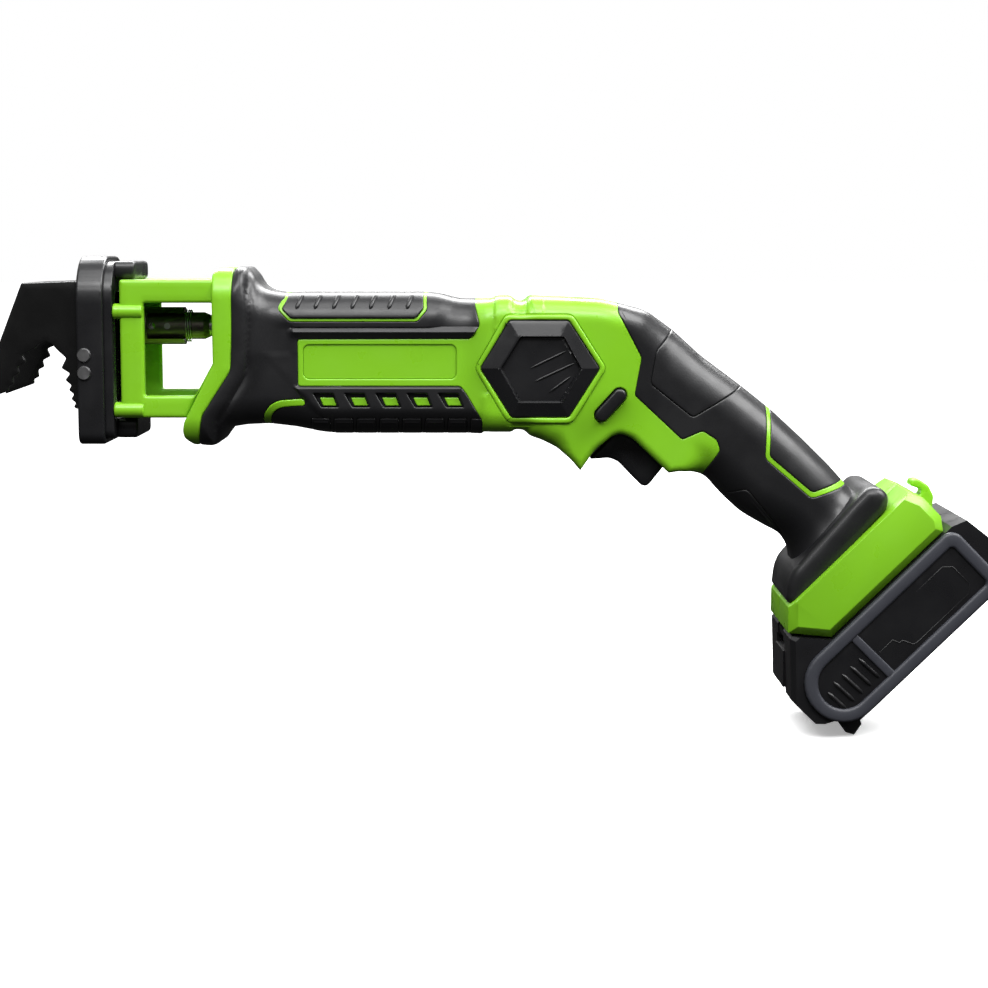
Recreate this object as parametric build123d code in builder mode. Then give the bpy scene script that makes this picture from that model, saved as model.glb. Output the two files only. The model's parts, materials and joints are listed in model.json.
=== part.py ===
"""Cordless pruning reciprocating saw, modelled piece by piece in millimetres.

Frame: origin at the mouth of the blade clamp on the stroke axis, +X towards the battery,
+Z up, and the tool's left side towards -Y.
"""

from build123d import *
from math import cos, pi, sin
import os

os.makedirs("parts", exist_ok=True)

# Fits
running = 0.05          # radial clearance of a shaft in its bush
loose = 0.3             # clearance between pieces of different bodies

# Stroke mechanism
stroke = 15.0
throw = stroke / 2
rod_r = 5.0
clamp_r = 6.35
clamp_len = 28.5
crank_x = 186.7
crank_z = -26.0
pin_r = 3.0
slot_ease = 1.7         # the slot is wider than the pin by this much on each side
module = 0.75
crown_teeth = 48
pinion_teeth = 8
crown_in, crown_out = 16.0, 20.0
pinion_pitch_r = module * pinion_teeth / 2

# Motor
motor_r = 17.5
motor_x0, motor_x1 = 104.0, 158.0
shaft_r = 1.55

# Barrel
barrel_x1 = 160.0
barrel_half = 26.5
barrel_top, barrel_bottom = 15.8, -48.6
skin = 2.4
wall = 2.5

# Nose
cage_half = 28.0
flange_half = 30.5
claw_half = 28.0
claw_sheet = 2.6
shoe_x0, shoe_x1, shoe_x2 = -26.5, -14.2, -10.2
shoe_half = 31.0
shoe_top, shoe_bottom = 32.6, -53.7

# Gear case, handle and foot
case_half = 29.0
grip_half = 19.5
grip_skin = 2.2
foot_half = 35.0

# Battery: s runs along the slide rails, up and back, and t away from the foot
pack_tilt = 44.5
pack_s = Vector(cos(pi * pack_tilt / 180), 0, sin(pi * pack_tilt / 180))
pack_side = Plane(origin=(0, 0, 0), x_dir=pack_s, z_dir=(0, 1, 0))
pack_plan = Plane(origin=(0, 0, 0), x_dir=pack_s, z_dir=pack_side.y_dir)
pack_half = 34.6
bumper_half = 37.5
cell_r, cell_len, cell_pitch = 9.15, 65.0, 18.9
blade_rows = (-15, -5, 5, 15)

# Trigger
trigger_half = 8.0
trigger_dir = Vector(0.669, 0, 0.743)
trigger_axis = Plane(origin=(232, 0, -55), x_dir=trigger_dir, z_dir=(0, 1, 0))

# Lock-off button
lock_x, lock_z, lock_tilt = 218.6, -35.8, 47.5
lock_len, lock_wide, lock_half = 18.6, 6.6, 25.8
lug_x, lug_z = 209.4, -45.9

# Screws that join the shells: (x, z, half-width of the case there)
shell_screws = ((82, -39, 20), (82, 9.0, 16), (214, 3.5, 25), (262, -25, 17), (316, -72, 17))

side = Plane(origin=(0, 0, 0), x_dir=(1, 0, 0), z_dir=(0, -1, 0))
plan = Plane.XY
front = Plane.YZ

# ---------------------------------------------------------------- outlines, (x, z)
flare_line = [
    (44.6, 24.5), (47, 27.5), (50.5, 27.5), (53.7, 23.7), (59.3, 16.8), (68, 15.8),
    (74, 15.8), (74, -47.2), (49, -45.8), (42, -46.8), (39.5, -49.6), (35.6, -54.7),
    (27.8, -54.7), (30.4, -40.4), (43.9, -19.6), (44.6, 0),
]
case_line = [
    (150, 12.5), (164, 13.9), (188, 13.6), (214.7, 12.5), (225.1, 10.1), (236, 7.8),
    (244, 0), (244, -50), (229, -51.3), (219.8, -50.7), (207.5, -61.5), (204.7, -66.1),
    (196.1, -57.5), (186.6, -52.4), (176, -49.2), (150, -48.6),
]
handle_line = [
    (222, 10.6), (236, 7.8), (252.6, -5.9), (281.2, -28.1), (310, -52.8), (333.3, -76.2),
    (352.5, -91.6), (319.5, -128.6), (300, -122), (306, -111.8), (301.2, -98.7), (282, -88.6),
    (265, -70.5), (253, -67.3), (246, -66.2), (229, -51.3), (222, -50.9),
]
grip_region = [
    (210, 30), (221.7, 6.4), (232.5, -13.9), (229.4, -31.6), (252.4, -52.6), (262.1, -47.9),
    (268.7, -52.6), (270.2, -57.2), (262, -75), (262, -110), (290, -140), (380, -100), (380, 30),
]
hexagon = [
    (158.3, -18.3), (171.6, 3.6), (199.1, 3.6), (213.4, -18.3), (199.3, -41.3), (172.6, -41.3),
]
# outlines in the battery's own (s, t)
foot_line = [
    (128.6, 297), (125.2, 302.6), (115.8, 312.2), (129, 327.8), (200, 327.8), (204, 322),
    (204, 310), (198, 296),
]
flange_line = [(131.5, 291), (128.2, 295.5), (127.2, 303.5), (194, 303.5), (194, 295), (190, 289)]
pack_line = [
    (115.4, 313.6), (128.2, 328.3), (204, 328.3), (211, 331), (213, 345), (208, 365),
    (110, 364.8), (103.5, 357.2), (98.5, 354.6), (95.5, 351.5), (95, 335.8),
]


# ---------------------------------------------------------------- nose
with BuildPart() as branch_claw:
    with BuildSketch(side):
        with BuildLine():
            Polyline(
                (-51.6, 20.4), (-61.9, -5.6), (-72.8, -34.1), (-58.5, -29), (-58.8, -27),
                (-56.2, -25.7), (-56.6, -22.4), (-53.6, -20.9), (-54.3, -17.8),
                (-50.4, -15.7), (-52, -12.2), (-46.2, -9.5),
            )
            ThreePointArc((-46.2, -9.5), (-41.4, -6.0), (-35.9, -10.2))
            Polyline(
                (-35.9, -10.2), (-31.8, -13.9), (-34.2, -18.5), (-30.2, -21), (-32.5, -24),
                (-29.6, -26.5), (-31, -28.6), (-28.5, -30.6), (-30, -32.7), (-27.7, -34.6),
                (-28.9, -36.4), (-27.5, -37.3), (-17.2, -37.3), (-17.2, 21.3),
                (-25.5, 21.3), (-51.6, 20.4),
            )
        make_face()
    extrude(amount=claw_half, both=True)
    bend = branch_claw.edges().filter_by(lambda e: e.center().Z > 20 and abs(e.center().Y) > 27)
    fillet(bend, radius=4.5)
    with BuildSketch(front.offset(-80)):
        with Locations((0, -22.6)):
            RectangleRounded(2 * (claw_half - claw_sheet), 80, radius=2)
    extrude(amount=70, mode=Mode.SUBTRACT)
    # rivet holes through both plates
    with BuildSketch(side):
        with Locations((-23.1, -12.5), (-23.1, -20.7)):
            Circle(2.0)
    extrude(amount=40, both=True, mode=Mode.SUBTRACT)
branch_claw.part.label = "branch_claw"
export_step(branch_claw.part, "parts/branch_claw.step")


def shoe_outline(inset, top_r, bottom_r):
    """Rounded outline of the shoe seen from the front, inset all round."""
    high = shoe_top - shoe_bottom - 2 * inset
    with Locations((0, (shoe_top + shoe_bottom) / 2)):
        outline = Rectangle(2 * (shoe_half - inset), high)
    fillet(outline.vertices().group_by(Axis.Y)[-1], radius=top_r)
    return outline


with BuildPart() as shoe:
    with BuildSketch(front.offset(shoe_x0)) as rim:
        shoe_outline(0, 20, 5)
        fillet(rim.vertices().group_by(Axis.Y)[0], radius=5)
    extrude(amount=shoe_x1 - shoe_x0)
    chamfer(shoe.edges().group_by(Axis.X)[0], length=1.2)
    chamfer(shoe.edges().group_by(Axis.X)[-1], length=0.9)
    with BuildSketch(front.offset(shoe_x1)) as step:
        shoe_outline(2, 18, 5)
        fillet(step.vertices().group_by(Axis.Y)[0], radius=5)
    extrude(amount=shoe_x2 - shoe_x1)
    # lugs that reach back over and under the nose frame
    with BuildSketch(front.offset(shoe_x2)) as lugs:
        with Locations((0, 26.2)):
            RectangleRounded(40, 8.2, radius=3)
        with Locations((0, -46.6)):
            RectangleRounded(40, 9.8, radius=3)
    extrude(amount=9.5)
    # the ring's inside takes the claw
    with BuildSketch(front.offset(shoe_x0)) as ring_bore:
        shoe_outline(3, 9, 5)
    extrude(amount=shoe_x1 - shoe_x0, mode=Mode.SUBTRACT)
    with BuildSketch(front.offset(shoe_x1)) as blade_way:
        with Locations((0, -10)):
            RectangleRounded(40, 52, radius=6)
    extrude(amount=20, mode=Mode.SUBTRACT)
    with BuildSketch(side) as rivet_ways:
        with Locations((-23.1, -12.5), (-23.1, -20.7)):
            Circle(2.0)
    extrude(amount=40, both=True, mode=Mode.SUBTRACT)
    with BuildSketch(front.offset(shoe_x1)) as screw_ways:
        with Locations((25.8, 7.4), (-25.8, 7.4), (25.8, -37.8), (-25.8, -37.8)):
            Circle(1.5)
    extrude(amount=10, mode=Mode.SUBTRACT)
shoe.part.label = "shoe"
export_step(shoe.part, "parts/shoe.step")

with BuildPart() as claw_rivets:
    for x, z in ((-23.1, -12.5), (-23.1, -20.7)):
        for hand in (-1, 1):
            base = Plane(origin=(x, hand * 24.6, z), x_dir=(1, 0, 0), z_dir=(0, hand, 0))
            with BuildSketch(base):
                Circle(2.0)
            extrude(amount=6.4)
            with BuildSketch(base.offset(6.4)):
                Circle(3.3)
            extrude(amount=1.3, taper=22)
            with BuildSketch(base.offset(0.8)):
                Circle(2.9)
                Circle(2.0, mode=Mode.SUBTRACT)
            extrude(amount=-1.0)
claw_rivets.part.label = "claw_rivets"
export_step(claw_rivets.part, "parts/claw_rivets.step")

with BuildPart() as nose_frame:
    with BuildSketch(side) as cage_side:
        with BuildLine():
            Polyline(
                (-5.4, 21.9), (36, 21.9), (36, 11.3), (36, -16), (27.1, -31.3), (23, -41.5),
                (-6.7, -41.5), (-5.4, 21.9),
            )
        make_face()
        fillet(cage_side.vertices().group_by(Axis.X)[0], radius=3)
    extrude(amount=cage_half, both=True)
    with BuildSketch(side) as flange_side:
        with BuildLine():
            Polyline(
                (35.6, 25), (37.6, 27), (44.6, 27), (44.6, 0), (43.9, -19.6), (30.4, -40.4),
                (27.8, -54.7), (20.6, -54.7), (17.4, -50), (17.6, -46.5), (35.6, -16),
                (35.6, 25),
            )
        make_face()
    extrude(amount=flange_half, both=True)
    # front view keeps the flange a rounded shield
    with BuildSketch(front.offset(-10)) as shield:
        with Locations((0, (27 - 54.7) / 2)):
            RectangleRounded(2 * flange_half, 27 + 54.7, radius=16)
    extrude(amount=60, mode=Mode.INTERSECT)
    # hollow cage, open at the front, with a window in each side, the top and the bottom
    with BuildSketch(front.offset(-10)) as cage_bore:
        with Locations((0, -9.75)):
            RectangleRounded(46, 54.5, radius=4)
    extrude(amount=36, mode=Mode.SUBTRACT)
    with BuildSketch(side) as cage_window:
        with BuildLine():
            Polyline(
                (4, 11.3), (35.6, 11.3), (35.6, -15.9), (27.1, -31.3), (4, -31.3), (4, 11.3)
            )
        make_face()
        fillet(cage_window.vertices().group_by(Axis.X)[0], radius=1.5)
    extrude(amount=40, both=True, mode=Mode.SUBTRACT)
    with BuildSketch(plan.offset(-60)) as floor_window:
        with Locations((14, 0)):
            RectangleRounded(24, 30, radius=4)
    extrude(amount=100, mode=Mode.SUBTRACT)
    # way for the rod and its seal
    with BuildSketch(front.offset(20)):
        Circle(11.0)
    extrude(amount=40, mode=Mode.SUBTRACT)
    # bosses that the shoe is screwed to
    with BuildSketch(front.offset(shoe_x2)):
        with Locations((25.8, 7.4), (-25.8, 7.4), (25.8, -37.8), (-25.8, -37.8)):
            Circle(3.4)
    extrude(amount=13.5)
    with BuildSketch(front.offset(shoe_x2)):
        with Locations((25.8, 7.4), (-25.8, 7.4), (25.8, -37.8), (-25.8, -37.8)):
            Circle(1.5)
    extrude(amount=10, mode=Mode.SUBTRACT)
nose_frame.part.label = "nose_frame"
export_step(nose_frame.part, "parts/nose_frame.step")

with BuildPart() as shoe_screws:
    with BuildSketch(front.offset(shoe_x1)):
        with Locations((25.8, 7.4), (-25.8, 7.4), (25.8, -37.8), (-25.8, -37.8)):
            Circle(1.5)
    extrude(amount=13.5)
    with BuildSketch(front.offset(shoe_x1)):
        with Locations((25.8, 7.4), (-25.8, 7.4), (25.8, -37.8), (-25.8, -37.8)):
            Circle(2.1)
    extrude(amount=-1.8)
shoe_screws.part.label = "shoe_screws"
export_step(shoe_screws.part, "parts/shoe_screws.step")

# ---------------------------------------------------------------- rod and blade clamp
with BuildPart() as clamp_body:
    with BuildSketch(side) as clamp_profile:
        with BuildLine():
            Polyline(
                (0, 0), (0, clamp_r - 0.6), (0.6, clamp_r), (clamp_len, clamp_r),
                (clamp_len + 2.6, rod_r + 0.2), (clamp_len + 2.6, 0), (0, 0),
            )
        make_face()
    revolve(axis=Axis.X)
    # slot for the blade's shank, 1.6 mm wide
    with BuildSketch(front):
        Rectangle(1.6, 2 * clamp_r + 1)
    extrude(amount=21, mode=Mode.SUBTRACT)
    # socket for the rod
    with BuildSketch(front.offset(24)):
        Circle(rod_r)
    extrude(amount=12, mode=Mode.SUBTRACT)
    with BuildSketch(side):
        with Locations((11.5, 0)):
            Circle(1.5)
        with Locations((4.2, 0)):
            Circle(1.7)
    extrude(amount=20, both=True, mode=Mode.SUBTRACT)
clamp_body.part.label = "clamp_body"
export_step(clamp_body.part, "parts/clamp_body.step")

with BuildPart() as clamp_pin:
    with BuildSketch(side):
        with Locations((11.5, 0)):
            Circle(1.5)
    extrude(amount=6.0, both=True)
clamp_pin.part.label = "clamp_pin"
export_step(clamp_pin.part, "parts/clamp_pin.step")

with BuildPart() as clamp_collar:
    with BuildSketch(front.offset(0.4)):
        Circle(8.8)
        Circle(clamp_r + running, mode=Mode.SUBTRACT)
    extrude(amount=19)
    # two bars stay above and below behind the front ring
    with BuildSketch(side):
        with Locations((11.6, 0)):
            Rectangle(19, 12.0)
    extrude(amount=12, both=True, mode=Mode.SUBTRACT)
clamp_collar.part.label = "clamp_collar"
export_step(clamp_collar.part, "parts/clamp_collar.step")

with BuildPart() as clamp_spring:
    with BuildLine() as coil:
        Helix(pitch=1.0, height=2.4, radius=7.3, center=(20.2, 0, 0), direction=(1, 0, 0))
    with BuildSketch(Plane(origin=coil.line @ 0, z_dir=coil.line % 0)):
        Circle(0.35)
    sweep()
clamp_spring.part.label = "clamp_spring"
export_step(clamp_spring.part, "parts/clamp_spring.step")

with BuildPart() as plunger_rod:
    with BuildSketch(front.offset(24)):
        Circle(rod_r)
    extrude(amount=132)
    with BuildSketch(plan.offset(-10)):
        with Locations((150, 0)):
            Rectangle(14, 5.5)
    extrude(amount=20, mode=Mode.SUBTRACT)
plunger_rod.part.label = "plunger_rod"
export_step(plunger_rod.part, "parts/plunger_rod.step")

slot_x = crank_x + throw
with BuildPart() as yoke:
    with BuildSketch(side.offset(-2.75)) as yoke_side:
        with BuildLine():
            Polyline(
                (143, 4), (202.5, 4), (202.5, -40.5), (186.2, -40.5), (186.2, -6), (182, -4),
                (143, -4), (143, 4),
            )
        make_face()
        fillet(yoke_side.vertices().group_by(Axis.Y)[0], radius=3)
        with Locations((slot_x, crank_z)):
            Rectangle(2 * (pin_r + slot_ease), 2 * (throw + pin_r + 0.7), mode=Mode.SUBTRACT)
    extrude(amount=5.5)
    with BuildSketch(side.offset(2.74)):
        with Locations((194, -16)):
            Rectangle(30, 60)
    extrude(amount=2, mode=Mode.SUBTRACT)
    # the tongue in the rod is full width, and the plate is thinned beside the crown teeth
    with BuildSketch(side.offset(-1.5)):
        with Locations((180, -16)):
            Rectangle(46, 70)
    extrude(amount=-3, mode=Mode.SUBTRACT)
yoke.part.label = "yoke"
export_step(yoke.part, "parts/yoke.step")

# ---------------------------------------------------------------- crank
with BuildPart() as crank_gear:
    with BuildSketch(side.offset(-5.2)) as gear_disc:
        with Locations((crank_x, crank_z)):
            Circle(crown_out)
    extrude(amount=-4.6)
    with BuildSketch(side.offset(-5.2)) as root_ring:
        with Locations((crank_x, crank_z)):
            Circle(crown_out)
            Circle(crown_in, mode=Mode.SUBTRACT)
    extrude(amount=1.1)
    # crown teeth, with a gap facing the pinion
    with BuildSketch(side.offset(-4.1)) as crown:
        with Locations((crank_x, crank_z)):
            with PolarLocations((crown_in + crown_out) / 2, crown_teeth, start_angle=3.75):
                Rectangle(crown_out - crown_in - 0.2, 0.85)
    extrude(amount=1.6)
    # hub, and the holes for the pin and the axle
    with BuildSketch(side.offset(-9.8)) as hub:
        with Locations((crank_x, crank_z)):
            Circle(6.5)
    extrude(amount=-1.8)
    with BuildSketch(side) as gear_holes:
        with Locations((crank_x + throw, crank_z)):
            Circle(pin_r)
        with Locations((crank_x, crank_z)):
            Circle(3.0)
        with Locations((crank_x, crank_z)):
            with PolarLocations(11, 4, start_angle=45):
                Circle(2.6)
    extrude(amount=-20, mode=Mode.SUBTRACT)
crank_gear.part.label = "crank_gear"
export_step(crank_gear.part, "parts/crank_gear.step")

with BuildPart() as crank_pin:
    with BuildSketch(side.offset(-9.4)):
        with Locations((crank_x + throw, crank_z)):
            Circle(pin_r)
    extrude(amount=14)
crank_pin.part.label = "crank_pin"
export_step(crank_pin.part, "parts/crank_pin.step")

with BuildPart() as crank_axle:
    with BuildSketch(side.offset(-5.2)):
        with Locations((crank_x, crank_z)):
            Circle(3.0)
    extrude(amount=-6.8)
    with BuildSketch(side.offset(-12)):
        with Locations((crank_x, crank_z)):
            Circle(4.0)
    extrude(amount=-8)
crank_axle.part.label = "crank_axle"
export_step(crank_axle.part, "parts/crank_axle.step")

with BuildPart() as crank_bearing:
    with BuildSketch(side.offset(-12.2)):
        with Locations((crank_x, crank_z)):
            Circle(11.0)
            Circle(4.0 + running, mode=Mode.SUBTRACT)
    extrude(amount=-7)
    chamfer(crank_bearing.edges().filter_by(GeomType.CIRCLE).sort_by(Edge.length)[-2:], length=0.5)
crank_bearing.part.label = "crank_bearing"
export_step(crank_bearing.part, "parts/crank_bearing.step")

with BuildPart() as gear_carrier:
    with BuildSketch(side.offset(-12.2)) as carrier_plate:
        with BuildLine():
            Polyline(
                (163, 9), (207, 9), (207, -38), (198, -44), (174, -44), (163, -30), (163, 9)
            )
        make_face()
        fillet(carrier_plate.vertices(), radius=3)
    extrude(amount=-8)
    with BuildSketch(side) as bearing_seat:
        with Locations((crank_x, crank_z)):
            Circle(11.0)
    extrude(amount=-19.2, mode=Mode.SUBTRACT)
    with BuildSketch(side) as axle_way:
        with Locations((crank_x, crank_z)):
            Circle(5.0)
    extrude(amount=-40, mode=Mode.SUBTRACT)
gear_carrier.part.label = "gear_carrier"
export_step(gear_carrier.part, "parts/gear_carrier.step")


def bush_section(outer_r):
    """Section of a plain bronze bush round the rod."""
    Circle(outer_r)
    Circle(rod_r + running, mode=Mode.SUBTRACT)


with BuildPart() as front_bush:
    with BuildSketch(front.offset(47)):
        bush_section(8.0)
    extrude(amount=15)
front_bush.part.label = "front_bush"
export_step(front_bush.part, "parts/front_bush.step")

with BuildPart() as rear_bush:
    with BuildSketch(front.offset(110)):
        bush_section(7.0)
    extrude(amount=12)
rear_bush.part.label = "rear_bush"
export_step(rear_bush.part, "parts/rear_bush.step")

with BuildPart() as rod_seal:
    with BuildSketch(front.offset(38)):
        Circle(11.0)
        Circle(rod_r + loose, mode=Mode.SUBTRACT)
    extrude(amount=5)
    with BuildSketch(front.offset(39.5)):
        Circle(9.5)
        Circle(7.0, mode=Mode.SUBTRACT)
    extrude(amount=4, mode=Mode.SUBTRACT)
rod_seal.part.label = "rod_seal"
export_step(rod_seal.part, "parts/rod_seal.step")

# ---------------------------------------------------------------- motor
motor = Plane(origin=(0, 0, crank_z), x_dir=(0, 1, 0), z_dir=(1, 0, 0))
with BuildPart() as motor_can:
    with BuildSketch(motor.offset(motor_x0)):
        Circle(motor_r)
    extrude(amount=motor_x1 - motor_x0)
    fillet(motor_can.edges().group_by(Axis.X)[-1], radius=2)
    with BuildSketch(motor.offset(motor_x1)):
        Circle(7.0)
    extrude(amount=3.5)
    with BuildSketch(motor.offset(motor_x0)):
        Circle(motor_r - 1.6)
    extrude(amount=motor_x1 - motor_x0 - 2, mode=Mode.SUBTRACT)
    with BuildSketch(motor.offset(motor_x1 - 2)):
        Circle(5.5)
    extrude(amount=4.5, mode=Mode.SUBTRACT)
    with BuildSketch(motor.offset(motor_x1)):
        Circle(3.0)
    extrude(amount=5, mode=Mode.SUBTRACT)
motor_can.part.label = "motor_can"
export_step(motor_can.part, "parts/motor_can.step")

with BuildPart() as motor_end_cap:
    with BuildSketch(motor.offset(motor_x0 - 5)):
        Circle(motor_r)
        Circle(5.5, mode=Mode.SUBTRACT)
        with Locations((0, 11), (0, -11)):
            Rectangle(9, 4, mode=Mode.SUBTRACT)
    extrude(amount=5)
    with BuildSketch(motor.offset(motor_x0 - 5)):
        Circle(5.5)
        Circle(3.0, mode=Mode.SUBTRACT)
    extrude(amount=1)
motor_end_cap.part.label = "motor_end_cap"
export_step(motor_end_cap.part, "parts/motor_end_cap.step")

with BuildPart() as motor_magnets:
    with BuildSketch(motor.offset(112)):
        Circle(motor_r - 1.6)
        Circle(13.2, mode=Mode.SUBTRACT)
        Rectangle(60, 12, mode=Mode.SUBTRACT)
    extrude(amount=38)
motor_magnets.part.label = "motor_magnets"
export_step(motor_magnets.part, "parts/motor_magnets.step")

with BuildPart() as motor_bearings:
    for x0 in (motor_x0 - 4, motor_x1 - 2):
        with BuildSketch(motor.offset(x0)):
            Circle(5.5)
            Circle(shaft_r + running, mode=Mode.SUBTRACT)
        extrude(amount=4)
motor_bearings.part.label = "motor_bearings"
export_step(motor_bearings.part, "parts/motor_bearings.step")

with BuildPart() as carbon_brushes:
    for hand in (-1, 1):
        with BuildSketch(motor.offset(105.2)):
            with Locations((0, hand * 7.6)):
                Rectangle(5, 7)
        extrude(amount=4)
carbon_brushes.part.label = "carbon_brushes"
export_step(carbon_brushes.part, "parts/carbon_brushes.step")

with BuildPart() as armature:
    with BuildSketch(motor.offset(117)) as lamination:
        Circle(12.6)
        Circle(shaft_r, mode=Mode.SUBTRACT)
        with PolarLocations(9.6, 5):
            RectangleRounded(6.2, 4.4, radius=1.5, mode=Mode.SUBTRACT)
        with PolarLocations(12.2, 5):
            Rectangle(3, 1.4, mode=Mode.SUBTRACT)
    extrude(amount=30)
armature.part.label = "armature"
export_step(armature.part, "parts/armature.step")

with BuildPart() as windings:
    for x0, length in ((112, 5), (147, 5)):
        with BuildSketch(motor.offset(x0)):
            Circle(11.4)
            Circle(3.4, mode=Mode.SUBTRACT)
        extrude(amount=length)
    fillet(windings.edges().filter_by(GeomType.CIRCLE).sort_by(Edge.length)[-4:], radius=1.8)
windings.part.label = "windings"
export_step(windings.part, "parts/windings.step")

with BuildPart() as commutator:
    with BuildSketch(motor.offset(104.8)):
        Circle(4.0)
        Circle(shaft_r, mode=Mode.SUBTRACT)
        with PolarLocations(4.0, 5, start_angle=36):
            Rectangle(0.8, 0.4, mode=Mode.SUBTRACT)
    extrude(amount=5.4)
commutator.part.label = "commutator"
export_step(commutator.part, "parts/commutator.step")

with BuildPart() as motor_shaft:
    with BuildSketch(motor.offset(101)):
        Circle(shaft_r)
    extrude(amount=69.8)
motor_shaft.part.label = "motor_shaft"
export_step(motor_shaft.part, "parts/motor_shaft.step")

with BuildPart() as pinion:
    with BuildSketch(motor.offset(166.7)):
        Circle(pinion_pitch_r - 0.8)
        with PolarLocations(pinion_pitch_r - 0.1, pinion_teeth):
            Trapezoid(1.1, 1.5, 80, rotation=-90)
        Circle(shaft_r, mode=Mode.SUBTRACT)
    extrude(amount=4)
pinion.part.label = "pinion"
export_step(pinion.part, "parts/pinion.step")

# ---------------------------------------------------------------- housing
with BuildPart() as barrel_outer:
    with BuildSketch(front.offset(60)):
        with Locations((0, (barrel_top + barrel_bottom) / 2)):
            RectangleRounded(2 * barrel_half, barrel_top - barrel_bottom, radius=15)
    extrude(amount=barrel_x1 - 60)
    with BuildSketch(side):
        with BuildLine():
            Polyline(*flare_line, close=True)
        make_face()
    extrude(amount=flange_half, both=True)
    with BuildSketch(plan.offset(-60)):
        with BuildLine():
            Polyline(
                (20, -flange_half), (50.5, -flange_half), (57, -28), (66, -barrel_half),
                (170, -barrel_half), (170, barrel_half), (66, barrel_half), (57, 28),
                (50.5, flange_half), (20, flange_half), close=True,
            )
        make_face()
    extrude(amount=100, mode=Mode.INTERSECT)
    with BuildSketch(front.offset(20)):
        with Locations((0, (27.5 - 54.7) / 2)):
            RectangleRounded(2 * flange_half, 27.5 + 54.7, radius=16)
    extrude(amount=150, mode=Mode.INTERSECT)

with BuildPart() as barrel_core:
    with BuildSketch(front.offset(47)):
        with Locations((0, (barrel_top + barrel_bottom) / 2)):
            high = barrel_top - barrel_bottom - 2 * skin
            RectangleRounded(2 * (barrel_half - skin), high, radius=13)
    extrude(amount=barrel_x1 - 47)

with BuildPart() as barrel_skin:
    add(barrel_outer.part)
    add(barrel_core.part, mode=Mode.SUBTRACT)
    # side panel window and the points at the back edge
    with BuildSketch(side):
        with BuildLine():
            Polyline((74.2, -5.7), (74.2, -26.9), (170, -26.9), (170, -5.7), close=True)
        make_face()
        with BuildLine():
            Polyline((153.7, -5.7), (158.3, 1.2), (156, 10.3), (153, 20), (175, 20), (175, -5.7),
                     close=True)
        make_face()
        with BuildLine():
            Polyline((149.5, -26.9), (159.2, -42.6), (159.2, -60), (175, -60), (175, -26.9),
                     close=True)
        make_face()
    extrude(amount=40, both=True, mode=Mode.SUBTRACT)
    # way for the rod
    with BuildSketch(front.offset(20)):
        Circle(11.0)
    extrude(amount=28, mode=Mode.SUBTRACT)
    for x, z, _ in shell_screws[:2]:
        with BuildSketch(side.offset(0)):
            with Locations((x, z)):
                Circle(3.1)
        extrude(amount=-40, mode=Mode.SUBTRACT)

with BuildPart() as handle_outer:
    with BuildSketch(side):
        with BuildLine():
            Polyline(*handle_line, close=True)
        make_face()
    extrude(amount=grip_half, both=True)
    chamfer(handle_outer.faces().filter_by(Axis.Y).edges(), length=4.5)

with BuildPart() as handle_core:
    with BuildSketch(side):
        with BuildLine():
            Polyline(*handle_line, close=True)
        make_face()
        offset(amount=-grip_skin, kind=Kind.INTERSECTION)
    extrude(amount=grip_half - grip_skin, both=True)
    chamfer(handle_core.faces().filter_by(Axis.Y).edges(), length=4)

with BuildPart() as handle_skin:
    add(handle_outer.part)
    add(handle_core.part, mode=Mode.SUBTRACT)
    with BuildSketch(side):
        with BuildLine():
            Polyline(*grip_region, close=True)
        make_face()
    extrude(amount=60, both=True, mode=Mode.INTERSECT)
    # the skin stops at the foot's deck
    with BuildSketch(pack_side):
        with Locations((160, 333)):
            Rectangle(120, 60)
    extrude(amount=60, both=True, mode=Mode.SUBTRACT)

with BuildPart() as base_flange:
    with BuildSketch(pack_side):
        with BuildLine():
            Polyline(*flange_line, close=True)
        make_face()
    extrude(amount=30, both=True)
    chamfer(base_flange.faces().filter_by(Axis.Y).edges(), length=3)
    add(handle_core.part, mode=Mode.SUBTRACT)

with BuildPart() as foot:
    with BuildSketch(pack_side):
        with BuildLine():
            Polyline(*foot_line, close=True)
        make_face()
    extrude(amount=foot_half, both=True)
    chamfer(foot.faces().filter_by(Axis.Y).edges(), length=4)

with BuildPart() as gear_case:
    with BuildSketch(side):
        with BuildLine():
            Polyline(*case_line, close=True)
        make_face()
    extrude(amount=case_half, both=True)
    chamfer(gear_case.faces().filter_by(Axis.Y).edges(), length=3)
    with BuildSketch(plan.offset(-80)):
        with BuildLine():
            Polyline(
                (148, -26), (160, -case_half), (208, -case_half), (240, -18), (260, -18),
                (260, 18), (240, 18), (208, case_half), (160, case_half), (148, 26), close=True,
            )
        make_face()
    extrude(amount=120, mode=Mode.INTERSECT)

with BuildPart() as case_inside:
    with BuildSketch(side):
        with BuildLine():
            Polyline(*case_line, close=True)
        make_face()
        offset(amount=-wall, kind=Kind.INTERSECTION)
        with Locations((150, -18)):
            Rectangle(20, 57)
    extrude(amount=case_half - wall - 1, both=True)
    with BuildSketch(plan.offset(-80)):
        with BuildLine():
            Polyline(
                (135, -21), (162, -25.5), (207, -25.5), (236, -14.8), (260, -14.8),
                (260, 14.8), (236, 14.8), (207, 25.5), (162, 25.5), (135, 21), close=True,
            )
        make_face()
    extrude(amount=120, mode=Mode.INTERSECT)

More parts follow.
